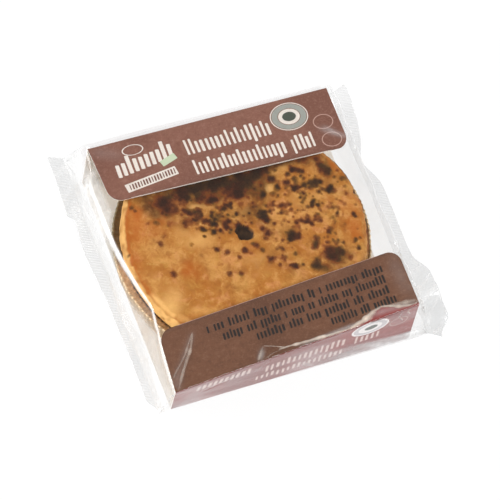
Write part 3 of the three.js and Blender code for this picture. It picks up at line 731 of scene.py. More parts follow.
# ---- pie -------------------------------------------------
# Scorched spots on the lid: place from its centre, radius, and how dark.
SPOTS = [
    # under the far flap and just below it
    (-46, 27.5, 1, 0.6), (-44.8, 25.4, 0.8, 0.55), (-41.5, 17.6, 1.1, 0.35),
    (-37.6, 16.9, 1.3, 0.5), (-31.3, 25.6, 2.7, 0.95), (-30.6, 21.9, 1.6, 0.7),
    (-33.6, 20.5, 0.9, 0.55), (-28.2, 20.3, 1.2, 0.4), (-21.3, 28, 2.4, 0.9),
    (-20.2, 24.4, 1.7, 0.7), (-22.3, 25.4, 1.3, 0.6), (-14.8, 27, 1.6, 0.7),
    (-13.4, 22.4, 1.7, 0.65), (-16.2, 21.6, 1, 0.5), (-11.5, 28.5, 2, 0.6), (-9.4, 20.4, 1.8, 0.92),
    (-11, 19.8, 0.9, 0.6), (-7.6, 19.8, 0.8, 0.6), (-6.6, 27, 2.7, 0.95), (-1.2, 27, 2, 0.6),
    (-1.5, 22.8, 1.5, 0.5), (2.4, 19.6, 2.2, 0.85), (5, 22.4, 3, 0.75), (7, 27.8, 3, 0.85),
    (4.4, 18.4, 1, 0.6), (9.4, 22.4, 1.6, 0.6), (15.4, 27.8, 2.6, 0.9), (11.8, 25, 1.8, 0.5),
    (13.8, 17.4, 1.5, 0.45), (12.6, 14.6, 1.5, 0.5), (14.6, 15.8, 0.9, 0.45),
    (11.2, 19.8, 1.5, 0.5), (20.6, 21.8, 1.7, 0.75), (19.4, 22.8, 0.8, 0.6),
    (20.8, 16.6, 1.3, 0.45), (18.2, 14.8, 1.2, 0.5), (1.9, 14.2, 1.2, 0.4), (22.8, 19.4, 0.9, 0.45),
    # upper left
    (-32.6, 14.4, 1.4, 0.35), (-36.8, 9, 1.5, 0.3), (-39.5, 6.4, 1.3, 0.6), (-41.8, 9, 1, 0.25),
    (-22.8, 18.2, 1.3, 0.55), (-21.2, 16.8, 1.4, 0.65), (-18.6, 16.6, 1.5, 0.6),
    (-16.6, 17, 1, 0.5), (-24, 19.4, 0.8, 0.4), (-18.6, 13.6, 1.5, 0.6), (-17.2, 14.4, 0.8, 0.5),
    (-12.1, 14.2, 1.1, 0.6), (-13, 12.9, 0.7, 0.45), (-24.8, 13.2, 1.5, 0.5),
    (-22.2, 12.6, 1.2, 0.4), (-25.3, 11.4, 0.9, 0.5), (-3.2, 15.5, 1.2, 0.65),
    (-5.5, 14.3, 1.2, 0.75), (-7.2, 14.3, 0.9, 0.5), (-1.9, 15.9, 0.7, 0.5),
    # round the vent
    (-1, 10.5, 1.15, 0.95), (1.4, 8.5, 0.7, 0.5), (4.4, 8.9, 0.55, 0.9), (-5, 11, 0.7, 0.6),
    (-3.3, 9.5, 1, 0.4), (-6, 8, 1.2, 0.8), (-13, 8.6, 1.4, 0.9), (-12, 10.4, 0.8, 0.5),
    (-8.2, 7, 1.2, 0.7), (-8, 5.5, 1.2, 0.8), (-11, 4.8, 0.9, 0.85), (-14.3, 4.6, 1.2, 0.85),
    (-6.2, 3.8, 0.9, 0.65), (-2.6, 5.2, 1.4, 0.8), (0.8, 2.6, 0.9, 0.55), (-18.3, 8, 1.1, 0.75),
    (-17.3, 6.8, 0.7, 0.6), (-16, 11, 1.2, 0.65), (3.8, 4.2, 0.8, 0.6), (-16, -3.6, 1.2, 0.7),
    (-12.4, -6.3, 1.4, 0.6), (-3.8, -7.6, 1.3, 0.75), (2, -7.2, 1.3, 0.65), (0.4, -6.1, 0.9, 0.4),
    (3.6, -10.1, 1.2, 0.55), (-7.5, -10.4, 1.1, 0.55), (-26.1, 1.8, 1.2, 0.3),
    (-23.6, -4.4, 1.2, 0.3),
    # the middle right
    (7.9, 13.4, 0.8, 0.6), (7.3, 11.2, 1.3, 0.6), (9.7, 7.8, 1.3, 0.75), (10.2, 5.4, 2, 1),
    (10.7, 3, 1.3, 0.9), (13.5, 0.7, 0.9, 0.65), (8.1, 5.4, 0.8, 0.55), (18.7, 5, 1, 0.7),
    (7.8, -0.2, 1.2, 0.75), (9.1, -3, 1.4, 0.8), (7.3, -5.2, 1.2, 0.55), (18.8, 0.6, 1.3, 0.35),
    (15.8, 9.6, 1.4, 0.45), (16.8, 8.9, 0.7, 0.5), (23.4, 8.8, 0.9, 0.35), (23.6, 5, 1, 0.45),
    (23.3, 13, 0.8, 0.5), (23.8, -1.6, 1.1, 0.7), (26.3, -1.6, 1.2, 0.7), (28.2, -2.8, 1.3, 0.8),
    (30, -4, 1.2, 0.75), (29.2, -2, 0.8, 0.6), (34, -3.2, 1.5, 0.5), (33, -1.2, 0.8, 0.5),
    (19.1, -7.4, 2.1, 1), (18.2, -8.6, 1.3, 0.85), (21.9, -8.7, 1.3, 0.75), (23, -7, 0.8, 0.5),
    (16.8, -5, 0.7, 0.4), (14.6, -8.3, 0.8, 0.6), (11.2, -10.8, 1.2, 0.35), (12.8, -11.4, 0.8, 0.4),
    (5.8, -15.2, 1.5, 0.8), (11.8, -16.8, 1.5, 0.5), (17.8, -16.4, 1, 0.5), (8.8, -19.3, 0.9, 0.6),
    (13.6, -21.2, 1, 0.65), (15.2, -21.8, 1.2, 0.8), (16.2, -22.4, 1, 0.7), (18.9, -22.3, 0.9, 0.6),
    (-14.4, -16.7, 1.3, 0.6), (-9.7, -18.3, 1.3, 0.6),
    # the right and the far right
    (31.2, 24.2, 1.3, 0.9), (30.6, 26, 0.8, 0.6), (33.4, 22.8, 1.4, 0.75), (35, 21.6, 1.3, 0.75),
    (28.5, 22.6, 1.1, 0.55), (35.4, 26.8, 1.1, 0.5), (25.8, 18.8, 1.4, 0.75),
    (27.6, 19.2, 0.8, 0.5), (30.4, 17.6, 1.2, 0.5), (30, 19.4, 0.8, 0.4), (29.2, 15, 1.5, 0.9),
    (28.2, 14, 0.9, 0.6), (33.2, 14.6, 0.9, 0.45), (31.9, 11.2, 0.95, 0.8), (30.7, 7.8, 0.7, 0.5),
    (36.8, 15.2, 1.2, 0.6), (39.4, 15.2, 1.3, 0.75), (41.6, 14.2, 1.2, 0.75), (37, 13.6, 1.1, 0.6),
    (37.4, 18.8, 0.7, 0.4), (45.4, 20.2, 2.1, 0.7), (46, 17.4, 1.6, 0.65), (44.3, 22.8, 1.5, 0.6),
    (47.4, 19, 1.2, 0.55), (44.2, 25.6, 1.2, 0.45), (44.6, 9.6, 1.8, 0.95), (43.2, 8.6, 1.1, 0.8),
    (45.4, 10.6, 1, 0.7), (41.3, 10.4, 1, 0.55), (53.8, 12.4, 1.3, 0.85), (51.4, 12.8, 1.2, 0.5),
    (51.2, 17.4, 1.1, 0.45), (51.2, 8.8, 1.1, 0.4), (50.7, 5.2, 1, 0.5), (34.6, 5.8, 1.2, 0.85),
    (33.6, 4.2, 0.9, 0.65), (31.2, 4, 1, 0.6), (29, 3.2, 0.7, 0.45), (36.2, 3.4, 0.9, 0.75),
    (38.6, 3.6, 0.7, 0.5), (42.7, 0, 1.1, 0.3), (47.8, 0.8, 1.2, 0.4), (44.6, -1.5, 0.9, 0.3),
    (50, -5.2, 1, 0.8), (50.7, -6.8, 0.8, 0.75), (52.7, -1.5, 0.8, 0.4), (37.4, -9.3, 1.6, 0.5),
    (36.2, -10.2, 0.8, 0.4), (43.6, -10, 1.1, 0.25), (29.7, -11.8, 1.3, 0.5),
    (28.6, -13.8, 1.6, 0.65), (27, -15.6, 1.4, 0.55), (33.8, -14.8, 1.1, 0.3),
    (33.2, -19.4, 2.2, 0.7), (31.6, -21.6, 1.8, 0.55), (35.2, -21, 1.8, 0.5),
    (38.6, -21.7, 1.7, 0.72), (37.6, -19.8, 1.2, 0.5), (24.6, -24.6, 1.9, 0.78),
    (26.4, -22.6, 1.3, 0.5), (34.6, -24.2, 1.8, 0.45), (28.4, -27.4, 1.6, 0.45),
    (41.3, -25.6, 1.2, 0.5), (46.5, -22.5, 0.9, 0.75), (46.2, -18.2, 1.1, 0.45),
    (49, -17.6, 0.7, 0.5), (49.4, -13, 0.6, 0.35), (38.4, 26.8, 1.6, 0.4), (-56.2, 5.3, 1.2, 0.8),
    (-39, -9.6, 1.5, 0.6),
]

# Broad dark areas that run together: place, reach along x and y, how dark. The first seven make a
# dark band along the far flap's edge; the rest are scorch.
SCORCHED = [
    (-31, 25, 5, 5.5, 0.62), (-22, 27.5, 6.5, 4.6, 0.66), (-13, 27, 6.5, 5.2, 0.58),
    (-4, 26.5, 6, 5.6, 0.58), (5, 25, 6.5, 6.4, 0.62), (13, 27, 5.5, 5, 0.56),
    (19.5, 29, 4, 3, 0.6), (2.5, 20, 3.6, 2.6, 0.35), (-29, 19.5, 3, 3, 0.25),
    (30, -22.5, 5.5, 3.6, 0.40), (35, -22.5, 5, 4, 0.42), (26, -25.5, 3, 2.4, 0.25),
    (-5, 15, 3.6, 1.6, 0.22), (-20, 16, 4.5, 2.0, 0.22), (-22, 12.6, 3.6, 1.8, 0.22),
    (38.5, 14.4, 4, 1.8, 0.22), (45.4, 19.6, 2.8, 3.8, 0.25), (41, 27, 6, 2, 0.30),
]

# Browned areas: place, reach along x and y, strength. Two broad ones at y 42 darken the lid under
# the far flap, towards its edge.
BROWNED = [
    (-37, 25.5, 5, 6, 0.62), (-33.5, 19.5, 4.5, 5, 0.45), (-26, 21, 6, 4, 0.4),
    (-12, 22, 8, 4, 0.4), (-2, 21, 7, 3.5, 0.45), (8, 20, 6, 4, 0.45), (16, 24, 5, 4, 0.5),
    (24, 28.5, 6, 2, 0.45), (-21, 15, 6, 3, 0.28), (-25, 12.5, 4, 3, 0.28), (13, 16, 4, 4, 0.45),
    (8, 12, 4, 4, 0.3), (32, 28.5, 8, 2.4, 0.4), (40, 26, 5, 3, 0.6), (45.5, 20, 4, 6, 0.4),
    (39, 14.5, 5, 2.5, 0.2), (31, -25.5, 7, 4, 0.35), (41, -24.5, 6, 4, 0.3),
    (28.5, -13.8, 2.6, 3, 0.25), (9.5, 5, 3, 5, 0.3), (22, -3, 9, 3, 0.18), (-8, 7, 9, 5, 0.2),
    (4, 8, 7, 5, 0.14), (8, -9, 8, 6, 0.15), (-20, 42, 25, 12, 0.8), (15, 42, 30, 12, 0.8),
    (-32, -7, 5, 5, 0.26), (-15, -24, 9, 5, 0.15), (50, 12, 4, 7, 0.2), (18, -26, 8, 3, 0.12),
    (-40, 8, 7, 7, 0.12), (-20, 20.5, 5, 3, 0.2), (0, 19, 5, 3, 0.15), (1, 12, 4, 3, 0.15),
    (19, 21, 4, 4, 0.12), (2, 5, 7, 4, 0.08), (12, -4, 7, 4, 0.12), (9, -14, 5, 4, 0.12),
    (10, -21, 5, 4, 0.1), (-9, 4, 5, 4, 0.08),
]

# Areas speckled with small scorch marks: place, reach along x and y, how many, how dark; the last
# strews dark marks under the far flap, towards its edge.
SPECKLED = [
    (-22, 22, 12, 6, 40, 0.5), (2, 18, 13, 4, 40, 0.5), (-12, 10, 10, 6, 60, 0.6),
    (31, 17, 16, 8, 70, 0.6), (14, 6, 11, 9, 50, 0.5), (38, 4, 12, 10, 60, 0.5),
    (20, -9, 16, 8, 50, 0.42), (38, -16, 11, 6, 36, 0.42), (-10, 44, 40, 10, 90, 0.8),
]

# Redder patches: place, reach along x and y, strength.
REDDENED = [
    (-32, -8, 6, 5.5, 0.9), (-45, 24, 4, 6, 0.85), (-49, 14, 4, 9, 0.6), (-38, 12, 7, 8, 0.55),
    (48, -13, 5, 8, 0.7), (51, -3, 4, 5, 0.4), (51, 12, 3, 7, 0.4), (-8, -3, 5, 3.5, 0.35),
    (-53, 2, 3, 12, 0.5), (33, -12, 10, 5, 0.15), (3, -8, 5, 3, 0.3), (24, 5, 4, 6, 0.25),
    (47, 2, 5, 4, 0.3), (12, 10, 5, 3, 0.15), (-34, 17, 6, 3, 0.4), (-31, -14, 7, 5, 0.35),
    (-52, -14, 3, 6, 0.35), (50, 21, 3, 4, 0.6),
]

# Lighter areas: place, reach along x and y, strength.
LIGHTENED = [
    (20, 12, 8, 6, 0.22), (28, 8, 6, 5, 0.25), (-50, -6, 4, 9, 0.2), (-42, -19, 7, 8, 0.45),
    (-47, -25, 6, 6, 0.4), (-22, 3, 9, 5, 0.55), (0, -13, 9, 4, 0.35), (18, 18, 3, 3.5, 0.5),
    (3, 11, 5, 3, 0.3), (-12, 17.5, 5, 2.5, 0.4), (-18.5, 19.4, 3.4, 1.8, 0.5), (23, 25, 4, 3, 0.4),
    (-29, 9.5, 6, 3.5, 0.35), (14, 3, 4, 3, 0.2), (38, 8, 4.5, 4, 0.35),
    (-18.5, 10.8, 2.2, 1.8, 0.5), (33, 19, 4, 2, 0.35), (47.5, 13, 3, 2.5, 0.3),
    (0, -21, 8, 5, 0.25),
]

# Paler streaks: ends, width, strength.
PALE_STREAKS = [
    ((-52.0, -17.0), (-46.5, -28.0), 2.2, 0.8), ((-48, -6), (-36, -30), 4, 0.25),
    ((-34, -22), (-24, -36), 2.2, 0.25), ((-36, -28), (-20, -38), 3.0, 0.35),
    ((-44, -30), (-34, -40), 2.5, 0.5),
]


def segment_distance(points, start, end):
    """Distance to a straight stretch, and how far along it the nearest place is."""
    start, end = np.array(start, float), np.array(end, float)
    way = end - start
    t = np.clip(((points - start) * way).sum(-1) / (way ** 2).sum(), 0, 1)
    return np.linalg.norm(points - (start + t[..., None] * way), axis=-1), t


def lid_swell(x, y):
    """How far the lid rises or sinks in broad waves."""
    return 0.1 * np.sin(0.11 * x + 0.7) * np.cos(0.09 * y) + 0.07 * np.sin(0.19 * x - 0.23 * y)


def edge_wobble(angle):
    """How far the lid's edge runs out or in."""
    return 0.2 * np.sin(3 * angle + 1) + 0.12 * np.sin(7 * angle) + 0.08 * np.sin(13 * angle + 2)


def area_share(x, y, areas):
    """The soft areas of a table, added up at each place."""
    share = np.zeros_like(x)
    for ax, ay, reach_x, reach_y, strength in areas:
        share += strength * np.exp(-(((x - ax) / reach_x) ** 2 + ((y - ay) / reach_y) ** 2))
    return share


def vent_share(x, y):
    """Distance from the vent's centre, where 1 is its outline."""
    corners = np.array(VENT_OUTLINE)
    angles = np.arctan2(corners[:, 1], corners[:, 0])
    order = np.argsort(angles)
    outline = np.interp(np.arctan2(y, x), angles[order], np.hypot(*corners[order].T),
                        period=2 * np.pi)
    return np.hypot(x, y) / outline


def scattered_spots():
    """Small scorch marks strewn over the speckled areas: place, radius, how dark."""
    rng = np.random.default_rng(47)
    spots = []
    for ax, ay, reach_x, reach_y, count, dark in SPECKLED:
        for _ in range(count):
            spots.append((ax + 0.6 * reach_x * rng.standard_normal(),
                          ay + 0.6 * reach_y * rng.standard_normal(),
                          rng.uniform(0.45, 1.05), dark * rng.uniform(0.3, 1.0)))
    return spots


def scorch_share(x, y):
    """How scorched the lid is at a place from its centre, and the brown halo of its marks."""
    warp_x = 0.62 * rough_noise(x, y, 2.4, 71, 3)
    warp_y = 0.62 * rough_noise(x, y, 2.4, 75, 3)
    uneven = 1 + 0.42 * rough_noise(x, y, 3.4, 78, 3)
    share, halo = np.clip(area_share(x, y, SCORCHED) * uneven, 0, 0.85), np.zeros_like(x)
    for sx, sy, radius, dark in SPOTS + scattered_spots():
        near = (np.abs(x - sx) < 4 * radius + 1) & (np.abs(y - sy) < 4 * radius + 1)
        reach = min(1.0, radius / 1.8)
        distance = np.hypot(x[near] + warp_x[near] * reach - sx,
                            y[near] + warp_y[near] * reach - sy)
        core = min(1.0, 1.12 * dark) * np.exp(-(distance / (1.18 * radius)) ** 2.6)
        share[near] = 1 - (1 - share[near]) * (1 - core)
        halo[near] = np.maximum(halo[near], dark * bump(distance, 2.0 * radius))
    return share, halo


def pie_profile():
    """Half of the pie's outline: radius, height, share of the edge's wobble, share of the lid."""
    floor = TRAY_FLOOR_Z + 0.8
    profile = [(0.0, floor, 0, 0), (FLAT_R, floor, 0, 0),
               (TRAY_BASE_R - 1.8 - CRUST_INSET, floor, 0, 0)]
    profile += [(wall_radius(z) - CRUST_INSET, z, 0, 0)
                for z in np.linspace(floor + 1.6, UNDER_RIM_Z, 8)]
    radii, heights = zip(
        (CRUST_R - 0.7, TRAY_RIM_Z + 0.4), (CRUST_R - 0.15, TRAY_RIM_Z + 1.6),
        (CRUST_R, LID_Z - 3.2), (CRUST_R - 0.5, LID_Z - 1.5), (LID_R + 0.7, LID_Z - 0.35),
        (LID_R - 0.5, LID_Z + 0.1), (LID_R - 2.4, LID_Z - 0.02))
    corners = range(len(radii))
    profile += [(np.interp(p, corners, radii), np.interp(p, corners, heights), min(1, p),
                 np.clip((p - 3) / 2, 0, 1)) for p in np.linspace(0, len(radii) - 1, 26)]
    return profile + [(r, LID_Z, smooth(40, 54, r), 1) for r in np.linspace(LID_R - 3.0, 0.0, 92)]


def make_pie():
    """The pie as one skin of rings: base, side, ragged edge and lid, with its baked colours."""
    angle = np.linspace(0, 2 * np.pi, PIE_POINTS, endpoint=False)
    turn = (np.degrees(angle) + 180) % 360 - 180
    # the right edge is drawn in and chipped
    drawn_in = np.interp(turn, (-70, -45, -25, -10, -2, 3, 6, 10, 15, 35, 60),
                         (0, 1.5, 2.0, 1.6, 1.0, 1.5, 2.4, 1.1, 0.8, 0.9, 0))
    drawn_in = drawn_in * (1 + 0.2 * rough_noise(angle * 14, angle * 0, 1.0, 145, 3))
    profile = pie_profile()
    rings = []
    for r, z, wobble, swell in profile:
        ragged = edge_wobble(angle) + 0.16 * soft_noise(angle * 40, angle * 0 + z * 0.3, 1.0, 64)
        radius = r + wobble * (ragged - drawn_in) * (r > 0)
        x, y = radius * np.cos(angle), radius * np.sin(angle)
        rings.append(np.stack([x, y, z + swell * lid_swell(x, y)], -1))
    grid = np.stack(rings)
    x, y, z = grid[..., 0], grid[..., 1], grid[..., 2]
    radius = np.hypot(x, y)
    on_lid = np.array([p[3] for p in profile])[:, None] * np.ones(PIE_POINTS)
    above = (z > TRAY_RIM_Z).astype(float)
    scorch, halo = scorch_share(x, y)
    scorch *= on_lid
    mottle = 1 + 0.5 * rough_noise(x, y, 4.2, 88, 3)
    brown = area_share(x, y, BROWNED) * mottle + 0.32 * halo + 0.10 * rough_noise(x, y, 9, 81, 3)
    red = area_share(x, y, REDDENED) + 0.16 * rough_noise(x, y, 11, 84, 3)

    # the lid's relief, the ripples of the side, and the vent
    relief = 0.10 * rough_noise(x, y, 8, 65) + 0.05 * rough_noise(x, y, 1.8, 68)
    relief = relief - 0.12 * scorch + 0.10 * smooth(0.15, 0.5, scorch) * (1 - scorch)
    z += on_lid * relief * 0.8
    ripple = 0.12 * rough_noise(np.arctan2(y, x) * 40, z * 2.0, 3.0, 69, 3)
    grid[..., :2] *= (1 + above * (1 - on_lid) * ripple / np.maximum(radius, 1))[..., None]
    from_vent = vent_share(x - VENT_PLACE[0], y - VENT_PLACE[1])
    from_vent += 0.025 * rough_noise(x, y, 1.6, 66, 3)
    z -= VENT_DEPTH * (1 - smooth(0.82, 0.98, from_vent)) * on_lid
    vent = (1 - smooth(0.90, 1.02, from_vent)) * on_lid

    # the edge: a redder line, pale pastry outside it, and at the right a dark side, partly burnt
    # and partly painted shade of the gap to the foil
    right = bump(turn - 2, 30)[None, :]
    ragged_edge = 0.5 * soft_noise(np.arctan2(y, x) * 30, radius * 0.2, 1.0, 141)
    rim_line = bump(radius - (LID_R - 0.4) + ragged_edge, 0.8) * above
    brown = np.clip(brown, 0, 1) * on_lid
    red = np.clip(red, 0, 1) * on_lid + rim_line * (0.3 + 0.25 * smooth(10, -30, x))
    pale = smooth(LID_R - 0.6, LID_R + 1.2, radius + ragged_edge) * above * (1 - right)
    pale *= 0.75 + 0.5 * soft_noise(np.arctan2(y, x) * 22, z * 0.5, 1.0, 143)
    pale = np.maximum(pale, area_share(x, y, LIGHTENED) * on_lid * (1 - smooth(0.1, 0.4, scorch)))
    # partly painted shade, partly burnt bits: the crust's side at the right is darkened where the
    # gap to the foil lies in shade
    scorch = np.maximum(scorch, right * smooth(LID_R + 0.3, LID_R + 1.0, radius) * above * 0.8)
    uneven = 0.6 * rough_noise(x, y, 3, 83, 3)
    for start, end, width, strength in PALE_STREAKS:
        distance, _ = segment_distance(grid[..., :2], start, end)
        pale = np.maximum(pale, strength * bump(distance + uneven, width) * on_lid)
    brown = np.maximum(brown, 0.75 * (1 - above))
    grid += (PIE_X, PIE_Y, 0)
    pie = make_piece("pie", grid, grid_faces(len(profile), PIE_POINTS, wrap=True),
                     [crust_material()], node="pie_crust")
    add_shares(pie, scorch=scorch, brown=brown, red=red, vent=vent, pale=pale)


# ---- film ------------------------------------------------
FILM_BASE_Z = -0.07                # the film's corners at the base, just under the card
FILM_LOWEST_Z = -0.12              # and no place of it lies lower than this
FILM_OUTWARDS = 0.18               # the crumples move it outwards by no more than this
TUBE_ROWS, CAP_ROWS = 236, 34      # rows of points round the pack, and from it to a seal
UNSEEN_R, SEEN_R = 61.2, 62.8      # the end's film clouds up outside the tray, between these
BAG_FOOT = (-59.2, 59.0)           # x of the film's left and right turns at the base
SEAL_ENDS = {-1: (-62.6, 69.0), 1: (-62.0, 64.0)}    # y of each seal's inner edge
SEAL_CUTS = {-1: (-62.2, 72.2), 1: (-66.0, 67.0)}    # y of each seal's cut edge

# The left fold of the film over the pack's end: place along y, and x. It bulges round the tray's
# rim and the far corner, and is pulled in over the lid's edge.
SHOULDER_LINE = np.array([
    (-66, -62.3), (-61, -61.9), (-51, -61.4), (-41, -60.6), (-33.5, -59.5), (-26, -58.5),
    (-21, -58.4), (-17, -59.2), (-11.5, -60.5), (-5.5, -61.6), (0, -62.5), (5.4, -63.3),
    (12, -63.9), (19, -64.0), (25, -64.1), (37, -64.4), (43, -64.4), (48, -62.6), (54, -61.0),
    (66, -60.6)])


def left_shoulder(y):
    """Where the film folds over the pack's left end."""
    return sum(np.interp(y + k, SHOULDER_LINE[:, 0], SHOULDER_LINE[:, 1]) for k in (-2, 0, 2)) / 3


def right_shoulder(y):
    """Where the film folds over the pack's right end."""
    return RIGHT_SHOULDER + 0.6 * smooth(20, 55, y)


def seal_inner(y, side):
    """Where a seal starts, at the left (-1) or the right (1)."""
    return LEFT_SEAL_IN - 0.6 * smooth(20, -20, y) if side < 0 else np.full_like(y, RIGHT_SEAL_IN)


def seal_edge(y, side):
    """Where a seal is cut; at the right its near end stands out as an ear."""
    if side < 0:
        return (LEFT_SEAL_OUT - 2.3 * bump(y - 20, 16) - 2.9 * smooth(39, 43, y)
                + 4 * smooth(-54, -62, y))
    return (RIGHT_SEAL_OUT - 4.5 * bump(y - 28, 9) + 1.2 * smooth(40, 56, y)
            + 5.4 * smooth(-24, -34, y) - 7 * smooth(-56, -66, y)
            + 0.7 * facet_noise(y, 0 * y, 5, 181, 0.4, 1.0) * smooth(-14, -26, y))


def seal_height(y, side):
    """Height of a seal's middle; the ear at the right is wavy."""
    wave = SEAL_Z + 0.8 * np.sin(0.13 * y) + 2.2 * smooth(40, 70, y)
    return wave if side < 0 else wave + 0.5 * np.sin(0.55 * y) * smooth(-24, -40, y)


def far_slack(x):
    """How far out the film hangs behind the far wall."""
    return FAR_SLACK_Y + FAR_SLACK_MORE * smooth(40, -40, x)


def seen_radius(points):
    """Where the camera sees a place of the film against the tray, as a radius of the tray."""
    drop = (TRAY_RIM_Z - points[..., 2]) / TO_CAMERA[2]
    return np.hypot(points[..., 0] + TO_CAMERA[0] * drop - PIE_X,
                    points[..., 1] + TO_CAMERA[1] * drop - PIE_Y)


def film_place(place):
    """A place on the taut film: x, y and z, or a face of the sleeve and two distances on it."""
    if isinstance(place[0], str):
        return on_face(place[0], np.array(place[1]), np.array(place[2]), FILM_OFF)
    return np.array(place)


# Sharp creases pulled into the film: two ends, half-width, height (mm).
CREASES = [
    (("near", 66, 0.5), ("near", 92, 1.2), 1.2, 0.5),
    (("near", 86, 0.3), ("near", 101.5, 4.8), 1.8, 0.6),
    (("near", 101.5, 4.8), ("near", 116.5, 0.8), 1.7, 0.6),
    (("near", 101.5, 4.8), ("wall", 97.5, 3.0), 1.5, 0.6),
    (("near", 112, 3.0), ("wall", 110, 6.0), 1.5, 0.8),
    (("near", 116.5, 2.6), ("wall", 113, 7.0), 1.5, 0.8),
    (("wall", 30, 9), ("wall", 14, 15), 1.2, 0.4),
    (("far", 108.5, 18.9), ("far", 117.6, 25.2), 1.6, 0.35),
    # folds of the left end
    ((-64.5, 43.0, 33.5), (-66.5, 55.0, 10.0), 1.6, 1.0),
    ((-68.5, 51.0, 12.0), (-65.0, 34.0, 16.0), 1.6, 0.9),
    ((-61.7, -40.0, 32.0), (-63.8, -34.0, 25.0), 1.2, 0.6),
    ((-63.8, -34.0, 25.0), (-65.0, -26.0, 18.0), 1.2, 0.6),
    ((-62.5, -58.0, 24.0), (-65.0, -50.0, 10.0), 1.5, 0.8),
    ((-61.5, -50.0, 28.0), (-64.5, -40.0, 14.0), 1.6, 0.7),
]

# Painted glare: milky streaks that stand for the glints where the film is pulled tight: two ends,
# half-width, strength.
PAINTED_GLARE_STREAKS = [
    (("far", 107.5, 18.0), ("far", 118.5, 25.0), 1.4, 0.15),
    (("far", 109.5, 17.0), ("far", 114.0, 21.5), 1.0, 0.08),
    (("far", 1.0, 2.0), ("far", 14.0, 8.0), 3.0, 0.05),
    (("near", 15.2, 23.5), ("near", 5.0, 10.0), 1.6, 0.05),
    (("near", 5.0, 10.0), ("near", 0.2, 1.0), 2.2, 0.06),
    (("near", 40.6, 0.6), ("near", 43.4, 5.0), 1.3, 0.16),
    (("near", 60, 0.6), ("near", 95, 1.4), 0.8, 0.20),
    (("near", 94, 2.8), ("near", 117, 1.4), 1.6, 0.16),
    (("near", 114.4, 26), ("near", 115.0, 6), 3.6, 0.05),
]

# Pinched folds standing on the film: face, points (a, b), half-width, height, haze; the haze
# whitens each fold and also paints its highlight.
PINCHES = [
    ("near", ((15.0, 23.6), (8.6, 14.8), (0.3, 6.0)), 0.5, 0.10, 0.20),
    ("near", ((14.9, 23.2), (12.4, 17.2), (8.2, 11.2), (1.6, 0.8)), 0.8, 0.12, 0.30),
    ("near", ((10.2, 15.2), (3.4, 4.6)), 0.35, 0.10, 0.12),
    ("near", ((43.9, 6.4), (47.5, 5.0), (52.0, 3.0), (56.0, 1.8)), 0.3, 0.06, 0.30),
    ("near", ((39.6, 0.6), (41.8, 3.2), (43.8, 6.3)), 0.7, 0.06, 0.22),
    ("near", ((43.0, 0.4), (47.0, 1.6), (51.0, 1.9)), 0.25, 0.05, 0.16),
    ("near", ((50.0, 2.3), (56.0, 2.1), (63.0, 1.6), (72.0, 0.7), (83.0, 0.1), (88.0, 0.5)),
     0.75, 0.10, 0.62),
    ("near", ((84.0, 0.1), (87.0, 0.5), (91.0, 1.5), (97.5, 4.2), (101.5, 4.8)), 1.25, 0.12, 0.60),
    ("near", ((86.0, 0.2), (90.0, 1.0), (94.0, 2.2), (98.0, 3.4)), 1.5, 0.06, 0.34),
    ("near", ((100.5, 4.9), (104.5, 3.8), (108.0, 2.3), (112.5, 1.0), (117.4, 0.6)),
     0.8, 0.10, 0.50),
    ("near", ((104.0, 3.6), (110.0, 3.2), (117.4, 2.2)), 1.0, 0.08, 0.26),
    ("wall", ((100.0, 0.8), (103.0, 3.6), (104.0, 8.0)), 0.5, 0.12, 0.22),
    ("wall", ((113.5, 0.6), (112.6, 3.0), (114.5, 6.4)), 0.5, 0.12, 0.34),
    ("wall", ((110.0, 0.8), (108.6, 5.0), (111.5, 11.0)), 0.5, 0.12, 0.22),
    ("wall", ((34.0, 4.0), (22.0, 9.5), (10.0, 13.0)), 0.45, 0.12, 0.24),
    ("wall", ((46.0, 2.0), (42.0, 6.0), (39.0, 12.0)), 0.45, 0.12, 0.20),
]


def path_lengths(corners):
    """How far along a path of straight runs its corners are."""
    return np.concatenate([[0], np.cumsum(np.hypot(*np.diff(corners, axis=0).T))])


def along_path(corners, lengths, place):
    """The points at some distances along a path of straight runs."""
    return np.stack([np.interp(place, lengths, corners[:, k]) for k in (0, 1)], -1)


def make_pinches(material):
    """Fine ridges of film, one ribbon for each pinch, in one piece."""
    points, faces, hazes, first = [], [], [], 0
    across = np.linspace(-1, 1, 7)
    for face, corners, half, height, haze in PINCHES:
        corners = np.array(corners, float)
        lengths = path_lengths(corners)
        steps = max(12, int(lengths[-1] / 0.5))
        t = np.linspace(0, lengths[-1], steps)
        place = along_path(corners, lengths, t)
        place = (place[np.maximum(np.arange(steps) - 1, 0)] + place * 2
                 + place[np.minimum(np.arange(steps) + 1, steps - 1)]) / 4
        place += 0.12 * np.stack([soft_noise(t, t * 0 + half, 3.0, seed) for seed in (161, 162)],
                                 -1)
        way = unit(np.gradient(place, axis=0))
        side = np.stack([-way[:, 1], way[:, 0]], -1)
        taper = np.sqrt(np.clip(4 * (t / t[-1]) * (1 - t / t[-1]), 0, 1)) * 0.85 + 0.15
        taper *= 1 + 0.3 * soft_noise(t, t * 0 + height, 2.2, 163)
        taper = taper[:, None]
        from_crest = np.abs(across[None, :])
        flat = place[:, None] + side[:, None] * (across[None, :, None] * half * taper[..., None])
        lift = FILM_OFF + 0.03 + height * taper * (1 - from_crest) ** 0.8
        points.append(on_face(face, flat[..., 0], flat[..., 1], lift[..., None]).reshape(-1, 3))
        faces.append(grid_faces(steps, len(across), first))
        # the haze paints a highlight along each pinch, milkiest at its crest
        hazes.append((haze * taper * (1 - 0.6 * from_crest)).ravel())
        first += steps * len(across)
    piece = make_piece("film_pinches", np.concatenate(points), np.concatenate(faces), [material])
    add_shares(piece, haze=np.concatenate(hazes))


